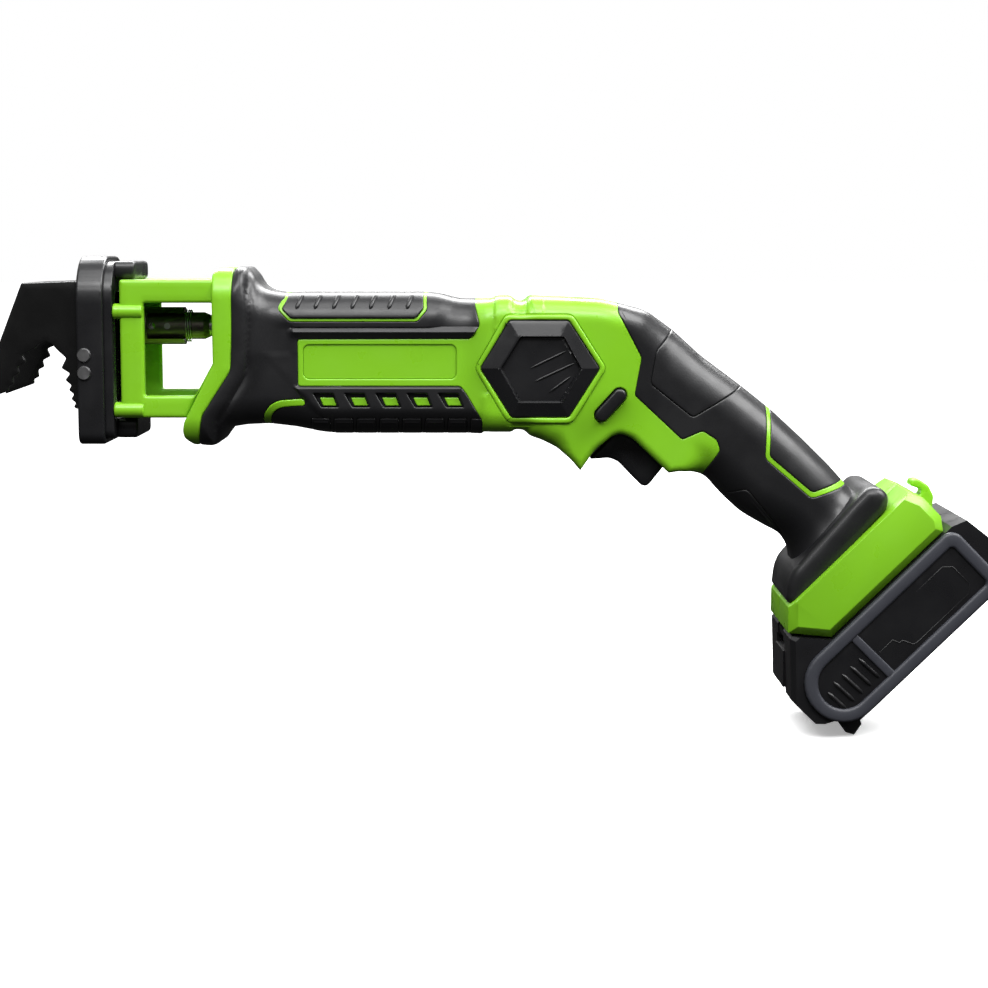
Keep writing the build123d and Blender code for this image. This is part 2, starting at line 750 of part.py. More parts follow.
with BuildPart() as inside:
    # barrel, gear case, handle and foot are one space
    with BuildSketch(front.offset(62)):
        with Locations((0, (barrel_top + barrel_bottom) / 2)):
            high = barrel_top - barrel_bottom - 2 * (skin + wall)
            RectangleRounded(2 * (barrel_half - skin - wall), high, radius=11)
    extrude(amount=96)
    add(case_inside.part)
    with BuildSketch(side):
        with BuildLine():
            Polyline(*handle_line, close=True)
        make_face()
        offset(amount=-grip_skin - wall, kind=Kind.INTERSECTION)
        with Locations((232, -24)):
            Rectangle(24, 36)
    extrude(amount=grip_half - grip_skin - wall, both=True)
    with BuildSketch(pack_side):
        with Locations((158, 310.5)):
            Rectangle(64, 8)
    extrude(amount=26, both=True)
    with BuildSketch(pack_side):
        with Locations((158, 301)):
            Rectangle(56, 16)
    extrude(amount=16, both=True)

with BuildPart() as supports:
    # saddle of the rear bush, and ribs that hold the motor
    with BuildSketch(front.offset(108)):
        with Locations((0, 3.5)):
            Rectangle(21, 21)
        Circle(7.0, mode=Mode.SUBTRACT)
        with Locations((0, crank_z)):
            Circle(motor_r, mode=Mode.SUBTRACT)
    extrude(amount=16)
    for x in (101, 148):
        with BuildSketch(front.offset(x)):
            with Locations((0, -28)):
                Rectangle(50, 38)
            with Locations((0, crank_z)):
                Circle(motor_r, mode=Mode.SUBTRACT)
        extrude(amount=3)
    with BuildSketch(front.offset(60)):
        with Locations((0, (barrel_top + barrel_bottom) / 2)):
            high = barrel_top - barrel_bottom - 2 * (skin + 0.5)
            RectangleRounded(2 * (barrel_half - skin - 0.5), high, radius=12.5)
    extrude(amount=120, mode=Mode.INTERSECT)

with BuildPart() as housing:
    add(barrel_core.part)
    with BuildSketch(side):
        with BuildLine():
            Polyline((74.3, -5.8), (74.3, -26.8), (162, -26.8), (162, -5.8), close=True)
        make_face()
    extrude(amount=barrel_half - 0.4, both=True)
    add(gear_case.part)
    add(handle_outer.part)
    add(foot.part)
    add(barrel_skin.part, mode=Mode.SUBTRACT)
    add(handle_skin.part, mode=Mode.SUBTRACT)
    add(base_flange.part, mode=Mode.SUBTRACT)
    add(inside.part, mode=Mode.SUBTRACT)
    # recessed side panel, and the seats of the hexagonal covers
    with BuildSketch(side.offset(barrel_half - 1.2)):
        with Locations((112, -15.8)):
            RectangleRounded(70.4, 15.6, radius=2)
    extrude(amount=5, mode=Mode.SUBTRACT)
    with BuildSketch(side.offset(1.2 - barrel_half)):
        with Locations((112, -15.8)):
            RectangleRounded(70.4, 15.6, radius=2)
    extrude(amount=-5, mode=Mode.SUBTRACT)
    for hand in (-1, 1):
        with BuildSketch(side.offset(hand * 27.5)):
            with BuildLine():
                Polyline(*hexagon, close=True)
            make_face()
        extrude(amount=hand * 10, mode=Mode.SUBTRACT)
    # front bush seat, supports, and the post behind the lock-off spring
    with BuildSketch(front.offset(47)):
        Circle(8.0)
    extrude(amount=20, mode=Mode.SUBTRACT)
    add(supports.part)
    with BuildSketch(side.offset(-15)):
        with Locations((lug_x, lug_z)):
            Circle(3.0)
    extrude(amount=-9)
    # screw bosses
    for x, z, half in shell_screws:
        with BuildSketch(side):
            with Locations((x, z)):
                Circle(3.6)
        extrude(amount=half - 1, both=True)
    for x, z, half in shell_screws:
        with BuildSketch(side.offset(12)):
            with Locations((x, z)):
                Circle(1.5)
        extrude(amount=-60, mode=Mode.SUBTRACT)
        with BuildSketch(side.offset(2 - half)):
            with Locations((x, z)):
                Circle(3.1)
        extrude(amount=-20, mode=Mode.SUBTRACT)
    # trigger opening and lock-off button hole
    with BuildSketch(trigger_axis):
        with Locations((-3.5, 2.8)):
            Rectangle(53, 30.4)
    extrude(amount=trigger_half + loose, both=True, mode=Mode.SUBTRACT)
    with BuildSketch(side):
        with Locations((lock_x, lock_z)):
            SlotOverall(lock_len + 0.6, lock_wide + 0.6, rotation=lock_tilt)
    extrude(amount=40, both=True, mode=Mode.SUBTRACT)
    # rails for the battery, open at the front
    with BuildSketch(pack_side):
        with Locations((150, 320.0)):
            Rectangle(102, 4.8)
    extrude(amount=27.4, both=True, mode=Mode.SUBTRACT)
    with BuildSketch(pack_side):
        with Locations((150, 326)):
            Rectangle(102, 8)
    extrude(amount=24.4, both=True, mode=Mode.SUBTRACT)
    with BuildSketch(pack_side):
        with Locations((113, 316)):
            Rectangle(24, 6)
    extrude(amount=9.8, both=True, mode=Mode.SUBTRACT)
    # slots for the terminal blades
    for y in blade_rows:
        with BuildSketch(pack_side.offset(y)):
            with Locations((178, 316)):
                Rectangle(12, 10)
        extrude(amount=0.4, both=True, mode=Mode.SUBTRACT)


def halves(name, whole):
    """Split a shell on the mid-plane into its left and right pieces and write both."""
    for hand, keep in (("left", Keep.TOP), ("right", Keep.BOTTOM)):
        with BuildPart() as half:
            add(whole.part)
            split(bisect_by=side, keep=keep)
        half.part.label = f"{name}_{hand}"
        export_step(half.part, f"parts/{name}_{hand}.step")


halves("housing", housing)
halves("barrel_grip", barrel_skin)

with BuildPart() as handle_grip:
    add(handle_skin.part)
    add(base_flange.part)
    add(inside.part, mode=Mode.SUBTRACT)
    with BuildSketch(pack_side):
        with Locations((113, 316)):
            Rectangle(24, 6)
    extrude(amount=9.8, both=True, mode=Mode.SUBTRACT)
    for x, z, half in shell_screws[3:]:
        with BuildSketch(side):
            with Locations((x, z)):
                Circle(3.1)
        extrude(amount=-40, mode=Mode.SUBTRACT)
halves("handle_grip", handle_grip)

with BuildPart() as hex_cover:
    with BuildSketch(side.offset(27.5)):
        with BuildLine():
            Polyline(*hexagon, close=True)
        make_face()
    extrude(amount=4.6)
    chamfer(hex_cover.faces().sort_by(Axis.Y)[0].edges(), length=2.6, length2=5.5)
    with BuildSketch(side.offset(31.2)):
        with Locations((186.4, -18.6)):
            RegularPolygon(9, 6)
    extrude(amount=5, mode=Mode.SUBTRACT)
hex_cover.part.label = "hex_cover_left"
export_step(hex_cover.part, "parts/hex_cover_left.step")

with BuildPart() as hex_cover_right:
    add(mirror(hex_cover.part, about=side))
hex_cover_right.part.label = "hex_cover_right"
export_step(hex_cover_right.part, "parts/hex_cover_right.step")

with BuildPart() as housing_screws:
    for x, z, half in shell_screws:
        with BuildSketch(side.offset(2 - half)):
            with Locations((x, z)):
                Circle(1.5)
        extrude(amount=half + 6)
        with BuildSketch(side.offset(2 - half)):
            with Locations((x, z)):
                Circle(2.9)
                RegularPolygon(1.3, 6, mode=Mode.SUBTRACT)
        extrude(amount=-2)
housing_screws.part.label = "housing_screws"
export_step(housing_screws.part, "parts/housing_screws.step")

# strap hook on the back of the foot
with BuildPart() as strap_hook:
    with BuildSketch(side) as hook_side:
        with BuildLine():
            Polyline(
                (357.5, -88), (360.8, -80.6), (366.8, -79.9), (367.4, -77.3), (361.7, -75.4),
                (362.4, -72.6), (365.6, -72.2), (370.6, -75.4), (373.2, -80.4), (372.4, -89.5),
                (366, -96), close=True,
            )
        make_face()
    extrude(amount=5, both=True)
    add(foot.part, mode=Mode.SUBTRACT)
strap_hook.part.label = "strap_hook"
export_step(strap_hook.part, "parts/strap_hook.step")

# ---------------------------------------------------------------- controls
with BuildPart() as trigger:
    with BuildSketch(side) as trigger_side:
        with BuildLine():
            Polyline(
                (209.6, -62.6), (218.9, -61.8), (223.7, -63.3), (234.2, -74.7), (236.8, -75.2),
                (238.4, -73.8), (245.1, -65.6), (236.2, -54.3), (222.6, -48.4),
                (214.9, -56.9), close=True,
            )
        make_face()
    extrude(amount=trigger_half, both=True)
    chamfer(trigger.edges().filter_by(Axis.Y).group_by(Axis.Z)[0], length=0.6)
    with BuildSketch(trigger_axis):
        with Locations((9, 2)):
            Rectangle(12, 4)
    extrude(amount=2, both=True)
trigger.part.label = "trigger"
export_step(trigger.part, "parts/trigger.step")

with BuildPart() as switch_body:
    with BuildSketch(trigger_axis):
        with Locations((26, 0)):
            RectangleRounded(18, 21, radius=1.5)
    extrude(amount=7, both=True)
    with BuildSketch(trigger_axis):
        with Locations((20, 2)):
            Rectangle(14, 4.8)
    extrude(amount=2.4, both=True, mode=Mode.SUBTRACT)
switch_body.part.label = "switch_body"
export_step(switch_body.part, "parts/switch_body.step")

with BuildPart() as trigger_spring:
    spring_base = trigger_axis.from_local_coords((2.2, -4.5, 0))
    with BuildLine() as coil:
        Helix(pitch=2.3, height=14.2, radius=2.3, center=spring_base, direction=trigger_dir)
    with BuildSketch(Plane(origin=coil.line @ 0, z_dir=coil.line % 0)):
        Circle(0.35)
    sweep()
trigger_spring.part.label = "trigger_spring"
export_step(trigger_spring.part, "parts/trigger_spring.step")

with BuildPart() as lock_button:
    with BuildSketch(side.offset(-lock_half + 2.6)):
        with Locations((lock_x, lock_z)):
            SlotOverall(lock_len, lock_wide, rotation=lock_tilt)
    extrude(amount=2 * lock_half - 2.6)
    chamfer(lock_button.faces().filter_by(Axis.Y).edges(), length=0.8)
    with BuildSketch(side.offset(-2)):
        with Locations((212, -43)):
            SlotOverall(13, 6.0, rotation=lock_tilt)
    extrude(amount=4)
lock_button.part.label = "lock_button"
export_step(lock_button.part, "parts/lock_button.step")

with BuildPart() as lock_spring:
    with BuildLine() as coil:
        Helix(pitch=2.4, height=12, radius=2.4, center=(lug_x, 2.5, lug_z), direction=(0, 1, 0))
    with BuildSketch(Plane(origin=coil.line @ 0, z_dir=coil.line % 0)):
        Circle(0.35)
    sweep()
lock_spring.part.label = "lock_spring"
export_step(lock_spring.part, "parts/lock_spring.step")

with BuildPart() as control_board:
    with BuildSketch(Plane(origin=(280, 0, -62), x_dir=(0.743, 0, -0.669), z_dir=(0, 1, 0))):
        Rectangle(40, 24)
    extrude(amount=0.8, both=True)
    for dx, dz in ((-12, 4), (0, -4), (12, 5)):
        board = Plane(origin=(280, 0.8, -62), x_dir=(0.743, 0, -0.669), z_dir=(0, 1, 0))
        with BuildSketch(board):
            with Locations((dx, dz)):
                Rectangle(7, 6)
        extrude(amount=4)
control_board.part.label = "control_board"
export_step(control_board.part, "parts/control_board.step")

with BuildPart() as terminal_block:
    with BuildSketch(pack_side):
        with Locations((171, 310.5)):
            Rectangle(32, 7.6)
    extrude(amount=22, both=True)
    for y in blade_rows:
        with BuildSketch(pack_side.offset(y)):
            with Locations((178, 312)):
                Rectangle(12, 8)
        extrude(amount=0.4, both=True, mode=Mode.SUBTRACT)
terminal_block.part.label = "terminal_block"
export_step(terminal_block.part, "parts/terminal_block.step")

with BuildPart() as terminal_blades:
    for y in blade_rows:
        with BuildSketch(pack_side.offset(y)):
            with Locations((178, 317)):
                Rectangle(12, 18)
        extrude(amount=0.4, both=True)
terminal_blades.part.label = "terminal_blades"
export_step(terminal_blades.part, "parts/terminal_blades.step")

# leads from the motor's end cap over the rod's side to the switch
lead_r = 1.1
lead_route = [
    (98.8, -26), (93, -26), (87.5, -18), (87.5, -6), (91, 3), (100, 7), (124, 7.2), (150, 6.8),
    (176, 7), (200, 5), (213, -8), (220, -19), (222.5, -24),
]
with BuildPart() as motor_leads:
    for lead_y in (-12.8, -16.4):
        with BuildLine(side.offset(-lead_y)) as path:
            FilletPolyline(*lead_route, radius=3)
        with BuildSketch(Plane(origin=path.line @ 0, z_dir=path.line % 0)):
            Circle(lead_r)
        sweep(path=path.line)
motor_leads.part.label = "motor_leads"
export_step(motor_leads.part, "parts/motor_leads.step")

# ---------------------------------------------------------------- battery
with BuildPart() as pack_case:
    with BuildSketch(pack_side):
        with BuildLine():
            Polyline(*pack_line, close=True)
        make_face()
    extrude(amount=pack_half, both=True)
    chamfer(pack_case.edges().filter_by(Axis.Y).group_by(Axis.X)[0], length=1.2)
    front_sides = pack_case.edges().filter_by(lambda e: abs(e.center().Y) > 34 and e.center().X < 303.5)
    chamfer(front_sides, length=2.4)
    # rails under the foot
    with BuildSketch(pack_side):
        with Locations((160, 320)):
            Rectangle(80, 4)
    extrude(amount=27, both=True)
    with BuildSketch(pack_side):
        with Locations((160, 325)):
            Rectangle(80, 8)
    extrude(amount=24, both=True)
    # stub foot under the front end
    with BuildSketch(pack_side):
        with BuildLine():
            Polyline(
                (103.6, 358), (102.4, 366.5), (104.4, 370.2), (110.4, 369), (113.4, 363), close=True,
            )
        make_face()
    extrude(amount=26, both=True)
    # the bumpers and the side panels are let into the sides
    for hand in (-1, 1):
        with BuildSketch(pack_side.offset(hand * 33.2)) as bumper_seat:
            with Locations((152, 346.4)):
                seat = Rectangle(104.4, 36.8)
            fillet(seat.vertices().group_by(Axis.X)[0], radius=18.2)
            fillet(bumper_seat.vertices().group_by(Axis.X)[-1], radius=6.2)
        extrude(amount=hand * 5, mode=Mode.SUBTRACT)
    # inside
    with BuildSketch(pack_side):
        with BuildLine():
            Polyline(
                (102.8, 330.8), (206, 330.8), (210, 336), (210.3, 345), (206, 362.5),
                (111.8, 362.5), (105.4, 355.2), (100.4, 352.4), (98, 350.2), (97.8, 336.4), close=True,
            )
        make_face()
    extrude(amount=31.4, both=True, mode=Mode.SUBTRACT)
    # cell pockets in the side walls
    with BuildSketch(pack_side):
        with Locations((155.5, 346)):
            with GridLocations(cell_pitch, 1, 5, 1):
                Circle(cell_r + 0.1)
    extrude(amount=cell_len / 2 + 0.35, both=True, mode=Mode.SUBTRACT)
    # blade slots in the rails, open at the back
    for y in blade_rows:
        with BuildSketch(pack_side.offset(y)):
            with Locations((185, 322)):
                Rectangle(34, 10.4)
            with Locations((178.5, 329)):
                Rectangle(13, 5)
        extrude(amount=2.2, both=True, mode=Mode.SUBTRACT)
    # well and window for the release latch
    with BuildSketch(pack_side):
        with Locations((113.5, 322)):
            Rectangle(19, 21)
    extrude(amount=9.6, both=True, mode=Mode.SUBTRACT)
    with BuildSketch(pack_side):
        with BuildLine():
            Polyline((111, 316.5), (90, 331), (90, 342), (100.5, 342), (114, 328.5), close=True)
        make_face()
    extrude(amount=13.6, both=True, mode=Mode.SUBTRACT)
    # ledge under the latch spring
    with BuildSketch(pack_side):
        with BuildLine():
            Polyline((96.5, 343), (104, 340.8), (108.6, 340.8), (108.8, 342.6), (96.5, 348), close=True)
        make_face()
    extrude(amount=5, both=True)

parting = Plane(origin=pack_side.from_local_coords((0, 347, 0)), x_dir=pack_s, z_dir=pack_plan.z_dir)
for case_name, keep in (("pack_lower_case", Keep.TOP), ("pack_upper_case", Keep.BOTTOM)):
    with BuildPart() as case_half_part:
        add(pack_case.part)
        split(bisect_by=parting, keep=keep)
    case_half_part.part.label = case_name
    export_step(case_half_part.part, f"parts/{case_name}.step")


def bumper_outline(inset):
    """Side outline of the battery: round at the front end, square at the back."""
    with Locations((152, 346.4)):
        outline = Rectangle(104 - 2 * inset, 36.4 - 2 * inset)
    fillet(outline.vertices().group_by(Axis.X)[0], radius=18 - inset)
    return outline


for hand, name in ((-1, "left"), (1, "right")):
    base = pack_side.offset(hand * 33.2)
    with BuildPart() as bumper:
        with BuildSketch(base) as ring:
            bumper_outline(0)
            fillet(ring.vertices().group_by(Axis.X)[-1], radius=6)
        extrude(amount=hand * (bumper_half - 33.2))
        with BuildSketch(base) as ring_inside:
            bumper_outline(6)
        extrude(amount=hand * 10, mode=Mode.SUBTRACT)
        rim_edges = bumper.faces().filter_by(Axis.Y).sort_by(Axis.Y)[::hand][-1].edges()
        chamfer(rim_edges, length=0.9)
    bumper.part.label = f"pack_bumper_{name}"
    export_step(bumper.part, f"parts/pack_bumper_{name}.step")
    with BuildPart() as panel:
        with BuildSketch(base) as plate:
            bumper_outline(6)
        extrude(amount=hand * 2.6)
        # slanted finger ribs in the round end and a bar across
        with BuildSketch(base.offset(hand * 2.6)) as ribs:
            for i in range(5):
                with Locations((116 + 3.6 * i, 346.4)):
                    SlotOverall(16, 1.5, rotation=90)
            with Locations((138, 346.4)):
                Rectangle(2.2, 24.2)
        extrude(amount=hand * 0.9)
    panel.part.label = f"pack_panel_{name}"
    export_step(panel.part, f"parts/pack_panel_{name}.step")

with BuildPart() as cells:
    with BuildSketch(pack_side.offset(-cell_len / 2)):
        with Locations((155.5, 346)):
            with GridLocations(cell_pitch, 1, 5, 1):
                Circle(cell_r)
    extrude(amount=cell_len)
    fillet(cells.edges().filter_by(GeomType.CIRCLE), radius=0.8)
cells.part.label = "cells"
export_step(cells.part, "parts/cells.step")

with BuildPart() as cell_holders:
    for y in (-22, 22):
        with BuildSketch(pack_side.offset(y)):
            with Locations((156.2, 346)):
                Rectangle(98.5, 22)
            with Locations((155.5, 346)):
                with GridLocations(cell_pitch, 1, 5, 1):
                    Circle(cell_r + 0.05, mode=Mode.SUBTRACT)
        extrude(amount=4, both=True)
cell_holders.part.label = "cell_holders"
export_step(cell_holders.part, "parts/cell_holders.step")

with BuildPart() as pack_board:
    with BuildSketch(pack_side):
        with Locations((157, 333)):
            Rectangle(76, 1.6)
    extrude(amount=25, both=True)
pack_board.part.label = "pack_board"
export_step(pack_board.part, "parts/pack_board.step")

with BuildPart() as pack_contacts:
    for y in blade_rows:
        for gap in (-1.0, 1.0):
            with BuildSketch(pack_side.offset(y + gap)):
                with Locations((178, 326)):
                    Rectangle(9, 12.4)
            extrude(amount=0.25, both=True)
pack_contacts.part.label = "pack_contacts"
export_step(pack_contacts.part, "parts/pack_contacts.step")

with BuildPart() as pack_latch:
    with BuildSketch(pack_side):
        with BuildLine():
            Polyline(
                (101, 331.5), (106.5, 327), (112.5, 327), (112.5, 318), (114.5, 315.2), (117.5, 318.5),
                (117.5, 331.5), close=True,
            )
        make_face()
    extrude(amount=9, both=True)
    with BuildSketch(pack_side):
        with BuildLine():
            Polyline((107.7, 321), (95.6, 333.5), (99.6, 336.6), (112, 324.2), close=True)
        make_face()
    extrude(amount=13, both=True)
pack_latch.part.label = "pack_latch"
export_step(pack_latch.part, "parts/pack_latch.step")

with BuildPart() as latch_spring:
    latch_base = pack_side.from_local_coords((107, 332, 0))
    with BuildLine() as coil:
        Helix(pitch=1.9, height=8.4, radius=2.1, center=latch_base, direction=pack_side.y_dir)
    with BuildSketch(Plane(origin=coil.line @ 0, z_dir=coil.line % 0)):
        Circle(0.35)
    sweep()
latch_spring.part.label = "latch_spring"
export_step(latch_spring.part, "parts/latch_spring.step")
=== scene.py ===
# %% [markdown]
# # A cordless pruning saw around its fixed frame
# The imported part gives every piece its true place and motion. This lesson keeps that frame and
# gives the saw the skin that a hand and an eye meet: moulded shells with rounded edges, soft
# black grips let into green nylon, a coated claw and a battery with rubbery bumpers. Outlines
# are in millimetres in the side plane, x along the barrel and z up, as a toolmaker draws them.

# %% Load the frame
import json
import math
import bmesh
import bpy
import numpy as np
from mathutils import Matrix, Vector, geometry


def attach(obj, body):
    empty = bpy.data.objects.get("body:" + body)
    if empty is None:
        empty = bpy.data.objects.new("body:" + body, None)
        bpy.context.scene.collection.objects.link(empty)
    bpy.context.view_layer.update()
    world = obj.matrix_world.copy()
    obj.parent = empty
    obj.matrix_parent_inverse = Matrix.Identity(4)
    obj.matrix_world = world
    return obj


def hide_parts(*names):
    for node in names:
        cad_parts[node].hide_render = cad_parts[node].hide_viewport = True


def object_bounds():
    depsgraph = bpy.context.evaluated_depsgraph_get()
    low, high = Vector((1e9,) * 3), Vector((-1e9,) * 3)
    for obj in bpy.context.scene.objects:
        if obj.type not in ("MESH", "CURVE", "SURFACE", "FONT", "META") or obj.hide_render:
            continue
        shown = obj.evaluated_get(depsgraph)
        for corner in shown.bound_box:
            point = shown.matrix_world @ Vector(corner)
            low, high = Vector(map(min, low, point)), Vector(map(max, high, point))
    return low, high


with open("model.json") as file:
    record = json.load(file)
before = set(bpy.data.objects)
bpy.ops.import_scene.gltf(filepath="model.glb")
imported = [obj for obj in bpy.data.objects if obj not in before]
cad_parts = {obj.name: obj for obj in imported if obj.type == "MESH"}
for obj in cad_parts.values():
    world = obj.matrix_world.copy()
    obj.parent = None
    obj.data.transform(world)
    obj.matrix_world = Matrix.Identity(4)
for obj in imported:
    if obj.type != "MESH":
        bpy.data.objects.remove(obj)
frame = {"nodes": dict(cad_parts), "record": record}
cad_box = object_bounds()
MM = 0.001
print("CAD box in mm:", [[round(c / MM, 1) for c in corner] for corner in cad_box])

# %% [markdown]
# ## Surface groups
# Moulded plastic is never one flat colour. It has slow drifts of tone, a fine spark-eroded grain
# and rub marks where it is handled. All materials share these effects, so they are one node
# group with named inputs; each material gives it its own scales and colours.

# %% The shared surface group
def build_surface_group():
    group = bpy.data.node_groups.new("worn_surface", "ShaderNodeTree")
    face = group.interface
    inputs = (("Tone A", "NodeSocketColor", (0.2, 0.2, 0.2, 1)),
              ("Tone B", "NodeSocketColor", (0.1, 0.1, 0.1, 1)),
              ("Drift Scale", "NodeSocketFloat", 20.0), ("Grain Scale", "NodeSocketFloat", 900.0),
              ("Rough Low", "NodeSocketFloat", 0.3), ("Rough High", "NodeSocketFloat", 0.5),
              ("Speck", "NodeSocketFloat", 0.0))
    outputs = (("Colour", "NodeSocketColor"), ("Roughness", "NodeSocketFloat"),
               ("Height", "NodeSocketFloat"))
    for name, kind, value in inputs:
        socket = face.new_socket(name=name, in_out="INPUT", socket_type=kind)
        socket.default_value = value
    for name, kind in outputs:
        face.new_socket(name=name, in_out="OUTPUT", socket_type=kind)
    node = group.nodes.new
    link = group.links.new
    start, end = node("NodeGroupInput"), node("NodeGroupOutput")
    coord = node("ShaderNodeTexCoord")
    drift, grain, wipe = node("ShaderNodeTexNoise"), node("ShaderNodeTexNoise"), node("ShaderNodeTexNoise")
    for tex, detail in ((drift, 3.0), (grain, 2.0), (wipe, 4.0)):
        tex.inputs["Detail"].default_value = detail
        link(coord.outputs["Object"], tex.inputs["Vector"])
    link(start.outputs["Drift Scale"], drift.inputs["Scale"])
    link(start.outputs["Grain Scale"], grain.inputs["Scale"])
    wipe.inputs["Scale"].default_value = 70.0
    blend = node("ShaderNodeMix")
    blend.data_type = "RGBA"
    link(drift.outputs["Fac"], blend.inputs["Factor"])
    link(start.outputs["Tone A"], blend.inputs["A"])
    link(start.outputs["Tone B"], blend.inputs["B"])
    speckle = node("ShaderNodeMapRange")
    speckle.inputs["From Min"].default_value = 0.62
    speckle.inputs["From Max"].default_value = 0.7
    link(grain.outputs["Fac"], speckle.inputs["Value"])
    amount = node("ShaderNodeMath")
    amount.operation = "MULTIPLY"
    link(speckle.outputs["Result"], amount.inputs[0])
    link(start.outputs["Speck"], amount.inputs[1])
    dusty = node("ShaderNodeMix")
    dusty.data_type = "RGBA"
    dusty.inputs["B"].default_value = (0.6, 0.6, 0.6, 1)
    link(amount.outputs["Value"], dusty.inputs["Factor"])
    link(blend.outputs["Result"], dusty.inputs["A"])
    rough = node("ShaderNodeMapRange")
    rough.inputs["From Min"].default_value = 0.35
    rough.inputs["From Max"].default_value = 0.65
    link(wipe.outputs["Fac"], rough.inputs["Value"])
    link(start.outputs["Rough Low"], rough.inputs["To Min"])
    link(start.outputs["Rough High"], rough.inputs["To Max"])
    link(dusty.outputs["Result"], end.inputs["Colour"])
    link(rough.outputs["Result"], end.inputs["Roughness"])
    link(grain.outputs["Fac"], end.inputs["Height"])
    return group


worn_surface = build_surface_group()
print("surface group sockets:", len(worn_surface.interface.items_tree))

# %% [markdown]
# ## Finishes
# Each slot of the record gets one material. The Principled shader stays in the material, with
# its constants on its own sockets, and only what varies comes from the group.

# %% The materials
materials = {}


def finish(slot, tone_a, tone_b, rough, metallic=0.0, bump=0.1, bump_mm=0.05, drift=20.0, grain=900.0,
           speck=0.0, coat=0.0, coat_rough=0.1):
    mat = bpy.data.materials.new(slot)
    mat.use_nodes = True
    tree = mat.node_tree
    shader = tree.nodes["Principled BSDF"]
    shader.inputs["Metallic"].default_value = metallic
    shader.inputs["Coat Weight"].default_value = coat
    shader.inputs["Coat Roughness"].default_value = coat_rough
    group = tree.nodes.new("ShaderNodeGroup")
    group.node_tree = worn_surface
    values = {"Tone A": (*tone_a, 1), "Tone B": (*tone_b, 1), "Drift Scale": drift, "Grain Scale": grain,
              "Rough Low": rough[0], "Rough High": rough[1], "Speck": speck}
    for name, value in values.items():
        group.inputs[name].default_value = value
    relief = tree.nodes.new("ShaderNodeBump")
    relief.inputs["Strength"].default_value = bump
    relief.inputs["Distance"].default_value = bump_mm * MM
    tree.links.new(group.outputs["Colour"], shader.inputs["Base Color"])
    tree.links.new(group.outputs["Roughness"], shader.inputs["Roughness"])
    tree.links.new(group.outputs["Height"], relief.inputs["Height"])
    tree.links.new(relief.outputs["Normal"], shader.inputs["Normal"])
    mat.diffuse_color = (*tone_a, 1)
    materials[slot] = mat


finish("green_plastic", (0.215, 0.53, 0.018), (0.185, 0.47, 0.014), (0.26, 0.38), bump=0.12, grain=1400)
finish("black_grip", (0.012, 0.012, 0.013), (0.008, 0.008, 0.009), (0.31, 0.40), bump=0.3, bump_mm=0.07,
       grain=1100)
finish("black_plastic", (0.010, 0.010, 0.011), (0.007, 0.007, 0.008), (0.26, 0.36), bump=0.2, grain=1300)
finish("bumper_plastic", (0.042, 0.044, 0.054), (0.034, 0.036, 0.045), (0.40, 0.5), bump=0.3, grain=1100)
finish("gloss_black_steel", (0.006, 0.006, 0.006), (0.004, 0.004, 0.004), (0.16, 0.28), bump=0.2,
       bump_mm=0.06, grain=500, coat=0.6)
finish("black_oxide", (0.24, 0.21, 0.18), (0.13, 0.115, 0.10), (0.24, 0.42), metallic=0.9, drift=160,
       grain=800)
finish("bright_steel", (0.60, 0.60, 0.60), (0.45, 0.45, 0.46), (0.2, 0.36), metallic=1.0, drift=120,
       grain=900)
finish("gear_steel", (0.34, 0.34, 0.35), (0.25, 0.25, 0.26), (0.25, 0.4), metallic=1.0, drift=90)
finish("cast_aluminium", (0.55, 0.55, 0.56), (0.42, 0.42, 0.44), (0.4, 0.55), metallic=1.0, bump=0.5,
       grain=400)
finish("bronze", (0.55, 0.33, 0.13), (0.4, 0.24, 0.1), (0.3, 0.5), metallic=1.0, speck=0.1)
finish("zinc_steel", (0.68, 0.69, 0.71), (0.52, 0.53, 0.55), (0.28, 0.42), metallic=0.7, drift=200)
finish("copper", (0.75, 0.32, 0.16), (0.55, 0.22, 0.11), (0.25, 0.4), metallic=1.0, drift=150)
finish("magnet", (0.07, 0.07, 0.075), (0.05, 0.05, 0.05), (0.5, 0.65), bump=0.3, grain=600)
finish("carbon", (0.03, 0.03, 0.03), (0.015, 0.015, 0.015), (0.45, 0.6), bump=0.2)
finish("seal_rubber", (0.02, 0.02, 0.02), (0.012, 0.012, 0.012), (0.5, 0.6), bump=0.2)
finish("board", (0.02, 0.13, 0.05), (0.015, 0.09, 0.035), (0.3, 0.45), drift=300, speck=0.2)
finish("lead_jacket", (0.35, 0.02, 0.015), (0.28, 0.016, 0.012), (0.35, 0.45))
finish("cell_wrap", (0.03, 0.12, 0.3), (0.025, 0.1, 0.25), (0.25, 0.35), coat=0.3)
print("materials:", len(materials))

# %% [markdown]
# ## Drawing in the side plane
# A moulding is drawn as outlines. These helpers round an outline's corners, cut it into short
# steps, measure how far points are from it and tell which points lie inside.

# %% Outline helpers
def rounded(line, radius, closed=True, steps=5):
    """The outline with each corner replaced by a short curve."""
    pts = np.array(line, float)
    last = len(pts) - 1
    out = []
    for i, p in enumerate(pts):
        if not closed and i in (0, last):
            out.append(p)
            continue
        back, ahead = pts[i - 1] - p, pts[(i + 1) % len(pts)] - p
        lb, la = np.linalg.norm(back), np.linalg.norm(ahead)
        r = min(radius, 0.45 * lb, 0.45 * la)
        a, b = p + back / lb * r, p + ahead / la * r
        for k in range(steps + 1):
            t = k / steps
            out.append((1 - t) ** 2 * a + 2 * t * (1 - t) * p + t * t * b)
    return np.array(out)


